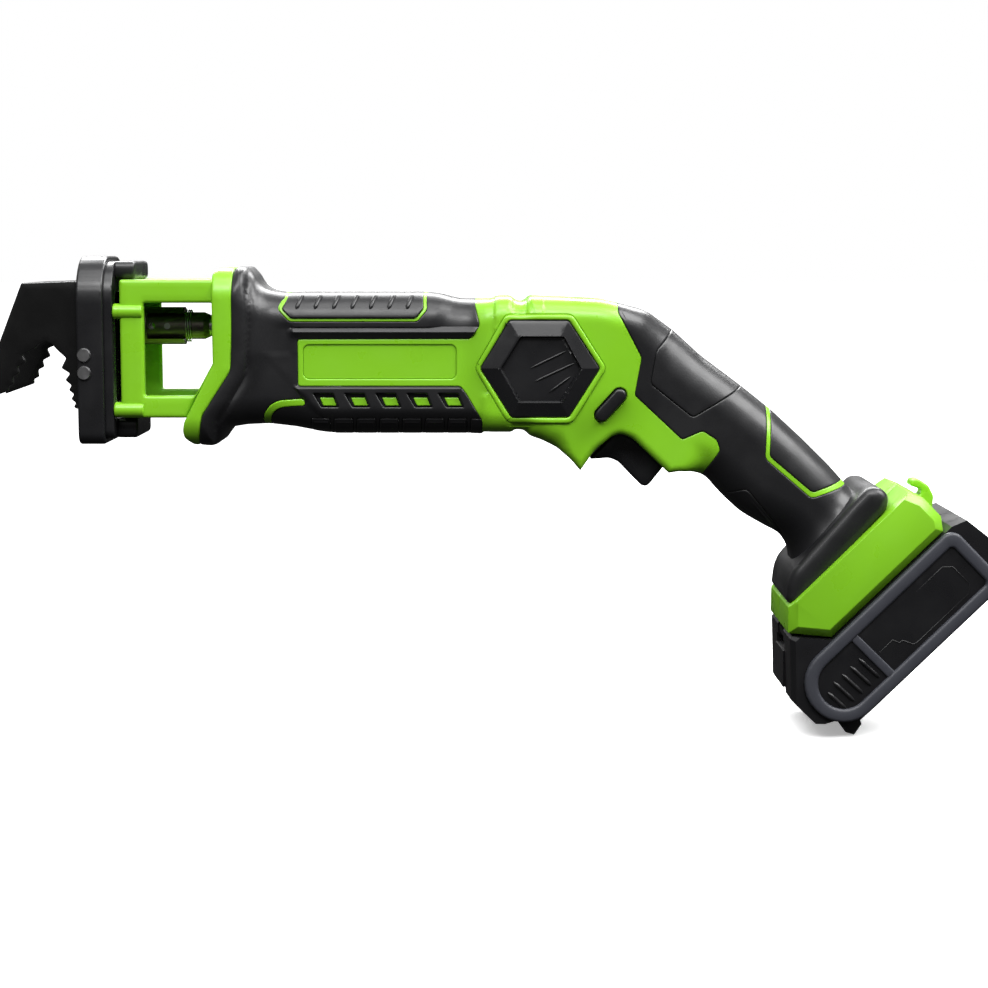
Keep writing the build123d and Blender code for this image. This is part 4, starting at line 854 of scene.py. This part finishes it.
deck_t = 303.6           # where the foot begins, in battery coordinates
foot_bevel = 0.8
down = Vector((math.sin(tilt), 0, -math.cos(tilt)))
deck = Vector((deck_t * math.sin(tilt), 0, -deck_t * math.cos(tilt))) * MM
skin_pieces = (("case_shell", "green_plastic", "housing"), ("barrel_skin", "black_grip", "barrel_grip"),
               ("grip_skin", "black_grip", "handle_grip"))
for hand in ("left", "right"):
    for skin, slot, node in skin_pieces:
        piece(f"{skin}_{hand}", on_side(joined(*skins[skin]), hand), slot, replaces=[f"{node}_{hand}"])
    bevelled(cut_from(f"housing_{hand}", deck, down), foot_bevel * MM, f"foot_{hand}", "green_plastic")
piece("grip_flange", flange, "black_grip")

# %% [markdown]
# ## Hexagonal gear covers
# Each side of the gear case has a black cover: a sloped border round a sunken hexagon. The
# slope comes from the distance to the outline, so it stays even all round.

# %% Covers
cover_outline = rounded(hexagon, 1.4)
inner_hex = [(176.9, -3.7), (197.0, -3.7), (205.2, -18.9), (196.0, -34.4), (176.2, -34.4),
             (167.6, -18.6)]
cover_inner = rounded(inner_hex, 1.0)
cover_seat = 29.6                       # the cover's outer edge, from the middle plane
cover_rise, border_width = 2.2, 7.5     # height and width of the sloped border
sunk_depth = 2.3                        # from the border's crest down to the sunken hexagon
cover_segs = pieces_of(cover_outline)
sharp_segs = pieces_of(np.array(hexagon))
inner_segs = pieces_of(cover_inner)


def cover_shape(p):
    """Height of the cover above its outer edge."""
    border = np.clip(distance(p, sharp_segs) / border_width, 0, 1) * cover_rise
    sunk = within(p, cover_inner)
    depth = smooth(distance(p, inner_segs), 0.0, 0.9)
    return np.where(sunk, cover_rise - sunk_depth * depth, border)


facets = [np.array([hexagon[(i + 1) % 6], hexagon[(i + 2) % 6], inner_hex[(i + 1) % 6], inner_hex[i]])
          for i in range(6)]
cover_co, cover_tri = fill([cover_outline, cover_inner] + facets, 1.3, (0.1, 0.3, 0.6, 0.9),
                           region=cover_outline, thin=1.4)
keep = within(cover_co[cover_tri].mean(1), cover_outline)
cover_tri = cover_tri[keep]
cover_used, cover_index = np.unique(cover_tri, return_inverse=True)
cover_tri = cover_index.reshape(-1, 3)
cover_p = cover_co[cover_used]
cover_y = cover_seat + cover_shape(cover_p) - edge_drop(distance(cover_p, cover_segs), 0.8)
cover_skin = (np.stack([cover_p[:, 0], -cover_y, cover_p[:, 1]], 1), [tuple(t) for t in cover_tri])
cover_body = thicken(cover_skin, 2.4)
piece("hex_cover_skin_left", cover_body, "black_plastic", replaces=["hex_cover_left"], sharp=24)
piece("hex_cover_skin_right", mirrored(cover_body), "black_plastic", replaces=["hex_cover_right"], sharp=24)

# %% [markdown]
# ## Claw
# The claw is a bent U of coated sheet steel: two toothed plates joined by a web along the top.
# Three thin rounded blocks make it, and the exact outline of the fill keeps the teeth crisp.

# %% The claw
claw_side = [(-51.6, 20.4), (-61.9, -5.6), (-72.8, -34.1), (-58.5, -29), (-58.8, -27), (-56.2, -25.7),
             (-56.6, -22.4), (-53.6, -20.9), (-54.3, -17.8), (-50.4, -15.7), (-52, -12.2),
             (-46.2, -9.5), (-44.2, -7.4), (-41.4, -6.0), (-38.4, -7.3), (-35.9, -10.2), (-31.8, -13.9),
             (-34.2, -18.5), (-30.2, -21), (-32.5, -24), (-29.6, -26.5), (-31, -28.6), (-28.5, -30.6),
             (-30, -32.7), (-27.7, -34.6), (-28.9, -36.4), (-27.5, -37.3), (-17.2, -37.3),
             (-17.2, 21.3), (-25.5, 21.3)]
claw_top = [(-51.6, 20.4), (-25.5, 21.3), (-17.2, 21.3), (-17.2, 18.7), (-25.5, 18.7), (-52.5, 17.8)]
plate_line = rounded(claw_side[::-1], 0.8, steps=3)
claw_plate = block([plate_line], 1.3, 0.45, middle=-26.7, step=1.2)
claw_web = block([rounded(claw_top, 0.4, steps=2)[::-1]], 27.9, 1.25, step=1.2)
claw = joined(claw_plate, mirrored(claw_plate), claw_web)
piece("claw_skin", claw, "gloss_black_steel", replaces=["branch_claw"])


# %% [markdown]
# ## Shoe ring
# The black shoe is the ring that rests against the branch, with a narrower neck and two lugs
# behind it. Its outline only shows from the front, so it is drawn there, in y and z.

# %% The shoe
def ring_line(inset, top_r, bottom_r):
    """Outline of the shoe from the front, with its own corner radii at the top and bottom."""
    half, top, bottom = 31.0 - inset, 32.6 - inset, -53.7 + inset
    return corner_arcs(((half - bottom_r, bottom + bottom_r, bottom_r, -90),
                        (half - top_r, top - top_r, top_r, 0),
                        (top_r - half, top - top_r, top_r, 90),
                        (bottom_r - half, bottom + bottom_r, bottom_r, 180)))


def from_front(loops_in, x0, x1, roll, step=1.8):
    """A block drawn from the front, in y and z, that reaches from x0 to x1."""
    return block(loops_in, (x1 - x0) / 2, roll, middle=(x0 + x1) / 2, step=step, axes="yxz")


shoe_ring = from_front([ring_line(0, 20, 5), ring_line(3.0, 17, 2.5)], -26.5, -14.2, 1.3)
blade_way = np.array([(-20, -36), (20, -36), (20, 16), (-20, 16)])
shoe_neck = from_front([ring_line(2.4, 17, 4), rounded(blade_way, 6)], -14.9, -10.2, 0.9)
lugs = []
for bottom, top in ((21.8, 30.3), (-51.5, -41.9)):
    lug_line = rounded([(-20, bottom), (20, bottom), (20, top), (-20, top)], 3.5)
    lugs.append(from_front([lug_line], -11, -1.0, 1.6))
piece("shoe_skin", joined(shoe_ring, shoe_neck, *lugs), "black_plastic", replaces=["shoe"])

# %% [markdown]
# ## Cage
# A green cage carries the shoe and leaves a window onto the blade clamp on each side. Its two
# sides, the bars above and below and the swept flange at its back are blocks; four round
# bosses hold the shoe's screws.

# %% The cage
cage_side_line = [(-7.0, 21.9), (36.5, 21.9), (36.5, -18), (27.6, -31.3), (23, -41.5), (-7.0, -41.5)]
cage_window_line = [(4, 11.3), (35.6, 11.3), (35.6, -15.9), (27.1, -31.3), (4, -31.3)]
cage_loops = [rounded(cage_side_line[::-1], 1.6), rounded(cage_window_line[::-1], 1.2)]
cage_side = block(cage_loops, 2.4, 1.5, middle=-25.5, step=1.5)
top_bar = block([rounded([(-7, 21.8), (36, 21.8), (36, 17.6), (-7, 17.6)][::-1], 1)], 27.5, 1.6)
cage_flange_line = [(35.4, 24), (36.6, 26.2), (38.5, 27.2), (44.8, 27.2), (44.8, 0), (43.9, -19.6),
                    (30.4, -40.4), (27.9, -54.7), (25.4, -54.6), (21.6, -51.0), (21.2, -47.5),
                    (22.0, -43.5), (35.6, -17)]
flange_outline = rounded(cage_flange_line[::-1], 1.2)
flange_ends = np.vstack([pieces_of([(20, 27.3), (50, 27.3)], False), pieces_of([(0, -55), (40, -55)], False)])
flange_roll = 14.0       # rounding of the flange's corners, seen from the front
flange_front = block([flange_outline], 30.2, 1.2, step=1.3)
flange_verts = flange_front[0]
flange_pull = edge_drop(distance(flange_verts[:, [0, 2]], flange_ends), flange_roll)
flange_verts[:, 1] -= np.sign(flange_verts[:, 1]) * flange_pull
boss_y, boss_r, boss_sides = 25.8, 3.6, 28
bosses = []
for boss_z in (7.4, -37.8):
    turns = [2 * math.pi * k / boss_sides for k in range(boss_sides)]
    ring = [(boss_y + boss_r * math.cos(a), boss_z + boss_r * math.sin(a)) for a in turns]
    bosses.append(from_front([ring], -10.2, 3.5, 0.9, step=1.0))
boss_pair = joined(*bosses)
lower_side = block([rounded([(-7, -41.5), (24, -41.5), (24, -37.3), (-7, -37.3)], 1)], 27.5, 1.6)
piece("cage_skin", joined(cage_side, mirrored(cage_side), top_bar, lower_side, flange_front, boss_pair,
                          mirrored(boss_pair)), "green_plastic", replaces=["nose_frame"])

# %% [markdown]
# ## Trigger, lock button and strap hook
# The trigger is a smooth block with a concave finger face. The lock button runs right through
# the case as an obround bar.

# %% Controls
trigger_line = [(209.6, -62.6), (215.1, -62.3), (218.9, -61.9), (223.2, -63.6), (228.5, -69.2),
                (234.2, -75.0), (236.6, -75.5), (238.4, -74.1), (245.1, -65.6), (236.2, -54.3),
                (222.6, -48.4), (214.9, -56.9)]
trigger_block = block([rounded(trigger_line, 1.6)], 8.0, 1.4, step=1.3)
piece("trigger_skin", trigger_block, "black_plastic", "trigger", ["trigger"])
lock_bar = block([obround(lock_x, lock_z, 18.4, 6.4, lock_tilt)], 25.0, 1.3, middle=-2.0, step=1.0)
piece("lock_button_skin", lock_bar, "black_plastic", "lock", ["lock_button"])
hook_line = [(357.5, -88), (360.8, -80.6), (366.8, -79.9), (367.4, -77.3), (361.7, -75.4),
             (362.4, -72.6), (365.6, -72.2), (370.6, -75.4), (373.2, -80.4), (372.4, -89.5), (366, -96)]
piece("strap_hook_skin", block([rounded(hook_line[::-1], 1.2)], 5.0, 1.1, step=1.0), "green_plastic",
      replaces=["strap_hook"])

# %% [markdown]
# ## Battery sides
# Each side of the battery has a dark grey bumper round a black panel. Both are drawn in the
# battery's own coordinates and turned into the side plane.

# %% Bumpers and panels
def pack_outline(inset, front_r, back_r):
    """The battery's side, inset from its edge, with a rounder front than back."""
    s0, s1, t0, t1 = 100 + inset, 204 - inset, 328.2 + inset, 364.6 - inset
    corners = ((s1 - back_r, t1 - back_r, back_r, 0), (s0 + front_r, t1 - front_r, front_r, 90),
               (s0 + front_r, t0 + front_r, front_r, 180), (s1 - back_r, t0 + back_r, back_r, 270))
    return pack_to_side(corner_arcs(corners))[::-1]


divider_line = [(134.3, 333.4), (138.3, 333.4), (138.9, 359.6), (134.6, 359.6)]
for hand, sign in (("left", -1), ("right", 1)):
    ring = block([pack_outline(0, 17.8, 6), pack_outline(6.2, 11.8, 2.0)], 2.15, 1.5,
                 middle=sign * 35.35, step=1.4)
    piece(f"bumper_skin_{hand}", ring, "bumper_plastic", "battery", [f"pack_bumper_{hand}"])
    plate = block([pack_outline(6.0, 12.0, 2.2)], 1.3, 0.3, middle=sign * 34.5, step=1.6)
    divider = block([pack_to_side(divider_line)[::-1]], 0.9, 0.7, middle=sign * 35.9, step=1.0)
    piece(f"side_divider_{hand}", divider, "bumper_plastic", "battery")
    piece(f"side_panel_{hand}", plate, "black_plastic", "battery", [f"pack_panel_{hand}"])

# %% [markdown]
# ## Ribs by Geometry Nodes
# Ribs repeat along a face: on the barrel's pad and in the battery's rounded end. Three plain bars
# lie in each hexagonal cover, and a fine line runs round the battery's bare label field. Their
# centre lines are drawn as plain edges on the surface, and one node tree sweeps a round bead
# along each line and tapers its ends.

# %% The bead tree
def build_bead_tree():
    tree = bpy.data.node_groups.new("bead_on_lines", "GeometryNodeTree")
    face = tree.interface
    face.new_socket(name="Geometry", in_out="INPUT", socket_type="NodeSocketGeometry")
    face.new_socket(name="Bead Radius", in_out="INPUT", socket_type="NodeSocketFloat")
    face.new_socket(name="Sides", in_out="INPUT", socket_type="NodeSocketInt")
    face.new_socket(name="Finish", in_out="INPUT", socket_type="NodeSocketMaterial")
    face.new_socket(name="Geometry", in_out="OUTPUT", socket_type="NodeSocketGeometry")
    node, link = tree.nodes.new, tree.links.new
    start, end = node("NodeGroupInput"), node("NodeGroupOutput")
    to_curve, to_mesh = node("GeometryNodeMeshToCurve"), node("GeometryNodeCurveToMesh")
    profile, radius = node("GeometryNodeCurvePrimitiveCircle"), node("GeometryNodeSetCurveRadius")
    place = node("GeometryNodeSplineParameter")
    far = node("ShaderNodeMath")
    far.operation = "SUBTRACT"
    far.inputs[0].default_value = 1.0
    nearest = node("ShaderNodeMath")
    nearest.operation = "MINIMUM"
    steep = node("ShaderNodeMath")
    steep.operation = "MULTIPLY_ADD"
    steep.inputs[1].default_value = 9.0
    steep.inputs[2].default_value = 0.08
    root = node("ShaderNodeMath")
    root.operation = "SQRT"
    cap = node("ShaderNodeMath")
    cap.operation = "MINIMUM"
    cap.inputs[1].default_value = 1.0
    real, paint = node("GeometryNodeRealizeInstances"), node("GeometryNodeSetMaterial")
    smooth_node = node("GeometryNodeSetShadeSmooth")
    link(start.outputs["Geometry"], to_curve.inputs["Mesh"])
    link(place.outputs["Factor"], far.inputs[1])
    link(place.outputs["Factor"], nearest.inputs[0])
    link(far.outputs["Value"], nearest.inputs[1])
    link(nearest.outputs["Value"], steep.inputs[0])
    link(steep.outputs["Value"], root.inputs[0])
    link(root.outputs["Value"], cap.inputs[0])
    link(to_curve.outputs["Curve"], radius.inputs["Curve"])
    link(cap.outputs["Value"], radius.inputs["Radius"])
    link(start.outputs["Sides"], profile.inputs["Resolution"])
    link(start.outputs["Bead Radius"], profile.inputs["Radius"])
    link(radius.outputs["Curve"], to_mesh.inputs["Curve"])
    link(profile.outputs["Curve"], to_mesh.inputs["Profile Curve"])
    to_mesh.inputs["Fill Caps"].default_value = True
    if "Scale" in to_mesh.inputs:
        link(cap.outputs["Value"], to_mesh.inputs["Scale"])
    link(to_mesh.outputs["Mesh"], smooth_node.inputs["Geometry"])
    link(smooth_node.outputs["Geometry"], real.inputs["Geometry"])
    link(real.outputs["Geometry"], paint.inputs["Geometry"])
    link(start.outputs["Finish"], paint.inputs["Material"])
    link(paint.outputs["Geometry"], end.inputs["Geometry"])
    return tree


bead_tree = build_bead_tree()


def beads(name, lines, radius, slot, rides="body", sides=12):
    """One mesh of round beads along 3-D lines, all in millimetres."""
    verts, edges = [], []
    for line in lines:
        first = len(verts)
        verts += [tuple(np.array(p) * MM) for p in line]
        edges += [(first + i, first + i + 1) for i in range(len(line) - 1)]
    source = bpy.data.meshes.new(name + "_lines")
    source.from_pydata(verts, edges, [])
    obj = bpy.data.objects.new(name, source)
    bpy.context.scene.collection.objects.link(obj)
    mod = obj.modifiers.new("beads", "NODES")
    mod.node_group = bead_tree
    values = {"Bead Radius": radius * MM, "Sides": sides, "Finish": materials[slot]}
    for item in bead_tree.interface.items_tree:
        if item.in_out == "INPUT" and item.name in values:
            mod[item.identifier] = values[item.name]
    done = bpy.data.meshes.new_from_object(obj.evaluated_get(bpy.context.evaluated_depsgraph_get()))
    obj.modifiers.clear()
    obj.data = done
    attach(obj, rides)
    print(f"{name}: {len(lines)} beads, {len(done.polygons)} faces")


def on_shell(points, out, hand):
    """Points of the side plane set on the shell's surface, out beyond it."""
    p = np.array(points, float)
    y = shell_height(p) + out
    return np.stack([p[:, 0], y * hand, p[:, 1]], 1)


# %% [markdown]
# Each set of ribs is a loop over one rib's line, so its count and pitch are plain to see. The
# pad's ribs follow the shell's own height, and the cover's bars follow the cover's.

# %% Ribs, bars and label line
pad_rib_count, pad_rib_start, pad_rib_pitch = 7, 74.0, 8.45
finger_rib_count, finger_rib_start, finger_rib_pitch = 5, 109.9, 5.3
bar_ends = (((183.4, -24.6), (201.6, -16.2)), ((181.6, -18.4), (197.6, -10.7)),
            ((190.0, -29.6), (199.8, -22.4)))
label_outline = [(139.3, 347.4), (148.3, 347.4), (149.6, 350.6), (151.5, 350.8), (153.6, 355.4),
                 (155.5, 356.2), (188.0, 356.2), (191.5, 353.0), (191.5, 342.0), (188.0, 338.6),
                 (172.0, 338.6)]
for hand, sign in (("left", -1), ("right", 1)):
    pad_ribs = []
    for i in range(pad_rib_count):
        x = pad_rib_start + pad_rib_pitch * i
        rib = [(x + 2.6 - 2.6 * k / 9, 15.1 - 6.6 * k / 9) for k in range(10)]
        pad_ribs.append(on_shell(rib, 2.3, sign))
    beads(f"pad_ribs_{hand}", pad_ribs, 1.0, "black_grip")
    bars = []
    for ends in bar_ends:
        p = np.linspace(*ends, 8)
        bars.append(np.stack([p[:, 0], sign * (cover_seat + cover_shape(p) + 0.1), p[:, 1]], 1))
    beads(f"cover_bars_{hand}", bars, 0.55, "black_plastic")
    fingers = []
    for i in range(finger_rib_count):
        s = finger_rib_start + finger_rib_pitch * i
        ends = pack_to_side([(s, 342.7 if i else 344.4), (s + 0.7, 355.9)])
        fingers.append([(x, sign * 35.9, z) for x, z in np.linspace(ends[0], ends[1], 8)])
    beads(f"finger_ribs_{hand}", fingers, 0.95, "black_plastic", "battery")
    label_line = [(x, sign * 35.75, z) for x, z in pack_to_side(label_outline)]
    beads(f"label_line_{hand}", [label_line], 0.28, "black_plastic", "battery")

# %% [markdown]
# ## Carried-over pieces
# Everything else keeps its exact mesh from the frame and only gets its finish, by the slot that
# the record names.

# %% Finishes of the remaining nodes
slots = {row["node"]: row["material_slot"] for row in frame["record"]["subparts"]}
for name, obj in frame["nodes"].items():
    obj.data.materials.clear()
    obj.data.materials.append(materials[slots[name]])
print("nodes painted:", len(frame["nodes"]))

# %% [markdown]
# ## Floor
# A pale floor fades into a white backdrop and keeps the eye on the tool. It glows more with
# distance, so no edge shows at the back. Black plastic shows whatever it reflects, so neither
# reflections nor diffuse light see the floor.

# %% The floor
floor_z = cad_box[0].z - 0.0005
floor_size, floor_front = 14, 0.42
bpy.ops.mesh.primitive_plane_add(size=floor_size, location=(0.16, floor_size / 2 - floor_front, floor_z))
floor = bpy.context.object
floor.name = "pale_floor"
floor_mat = bpy.data.materials.new("pale_floor")
floor_mat.use_nodes = True
floor_shader = floor_mat.node_tree.nodes["Principled BSDF"]
floor_shader.inputs["Base Color"].default_value = (0.92, 0.92, 0.92, 1)
floor_shader.inputs["Roughness"].default_value = 0.9
floor_shader.inputs["Emission Color"].default_value = (1, 1, 1, 1)
spot = floor_mat.node_tree.nodes.new("ShaderNodeTexCoord")
far = floor_mat.node_tree.nodes.new("ShaderNodeVectorMath")
far.operation = "DISTANCE"
far.inputs[1].default_value = (0.0, -6.5, 0.0)
sweep = floor_mat.node_tree.nodes.new("ShaderNodeMapRange")
sweep.inputs["From Min"].default_value = 0.4
sweep.inputs["From Max"].default_value = 2.5
sweep.inputs["To Min"].default_value = 0.35
sweep.inputs["To Max"].default_value = 1.1
floor_mat.node_tree.links.new(spot.outputs["Object"], far.inputs[0])
floor_mat.node_tree.links.new(far.outputs["Value"], sweep.inputs["Value"])
floor_mat.node_tree.links.new(sweep.outputs["Result"], floor_shader.inputs["Emission Strength"])
floor.visible_diffuse = False
floor.visible_glossy = False
floor.data.materials.append(floor_mat)
print("floor at", round(floor_z / MM, 1), "mm")

# %% [markdown]
# ## Room
# The camera sees a plain white room. Everything else is lit by one that is nearly dark at the
# floor and brighter overhead, so the tool's sides stay deep and its upper edges shine.

# %% The room
ROOM_LOW, ROOM_HIGH = 0.03, 0.7
world = bpy.data.worlds.new("studio")
bpy.context.scene.world = world
world.use_nodes = True
sky = world.node_tree
room = sky.nodes["Background"]
height_of = sky.nodes.new("ShaderNodeSeparateXYZ")
direction = sky.nodes.new("ShaderNodeTexCoord")
sky.links.new(direction.outputs["Generated"], height_of.inputs["Vector"])
glow = sky.nodes.new("ShaderNodeMapRange")
glow.inputs["From Min"].default_value = -0.05
glow.inputs["From Max"].default_value = 0.9
glow.inputs["To Min"].default_value = ROOM_LOW
glow.inputs["To Max"].default_value = ROOM_HIGH
sky.links.new(height_of.outputs["Z"], glow.inputs["Value"])
sky.links.new(glow.outputs["Result"], room.inputs["Strength"])
plain = sky.nodes.new("ShaderNodeBackground")
plain.inputs["Strength"].default_value = 1.0
seen = sky.nodes.new("ShaderNodeLightPath")
mixed = sky.nodes.new("ShaderNodeMixShader")
sky.links.new(seen.outputs["Is Camera Ray"], mixed.inputs["Fac"])
sky.links.new(room.outputs["Background"], mixed.inputs[1])
sky.links.new(plain.outputs["Background"], mixed.inputs[2])
sky.links.new(mixed.outputs["Shader"], sky.nodes["World Output"].inputs["Surface"])
for shader in (room, plain):
    shader.inputs["Color"].default_value = (1, 1, 1, 1)
bpy.context.scene.view_settings.view_transform = "Standard"
print("room strength:", ROOM_LOW, "to", ROOM_HIGH)

# %% [markdown]
# ## Lights and camera
# Four soft lights draw the long highlights: one above, one behind for the top edge, one high in
# front and one high on the right, over the battery. The camera stands about 1 m away and looks
# slightly down.

# %% Lights and camera
def softbox(name, place, target, size, power):
    data = bpy.data.lights.new(name, "AREA")
    data.shape = "RECTANGLE"
    data.size, data.size_y = size
    data.energy = power
    light = bpy.data.objects.new(name, data)
    light.location = place
    light.rotation_euler = (Vector(target) - Vector(place)).to_track_quat("-Z", "Y").to_euler()
    bpy.context.scene.collection.objects.link(light)


softbox("overhead", (0.15, -0.30, 0.80), (0.17, 0, -0.06), (1.0, 0.3), 4.0)
softbox("rear_rim", (0.2, 0.9, 0.75), (0.17, 0, -0.06), (1.4, 0.5), 30.0)
softbox("front_top", (0.05, -1.15, 1.05), (0.16, 0, -0.05), (1.6, 0.45), 24.0)
softbox("right_top", (1.05, -0.25, 0.85), (0.25, 0, -0.05), (0.9, 0.7), 20.0)

camera_data = bpy.data.cameras.new("camera")
camera_data.sensor_width = 36.0
camera_data.lens = 76.52
camera = bpy.data.objects.new("camera", camera_data)
camera.location = (0.16476, -0.99332, 0.03541)
camera.rotation_euler = (math.radians(90 - 6.6275), 0, 0)
bpy.context.scene.collection.objects.link(camera)
bpy.context.scene.camera = camera
print("camera at", tuple(camera.location))
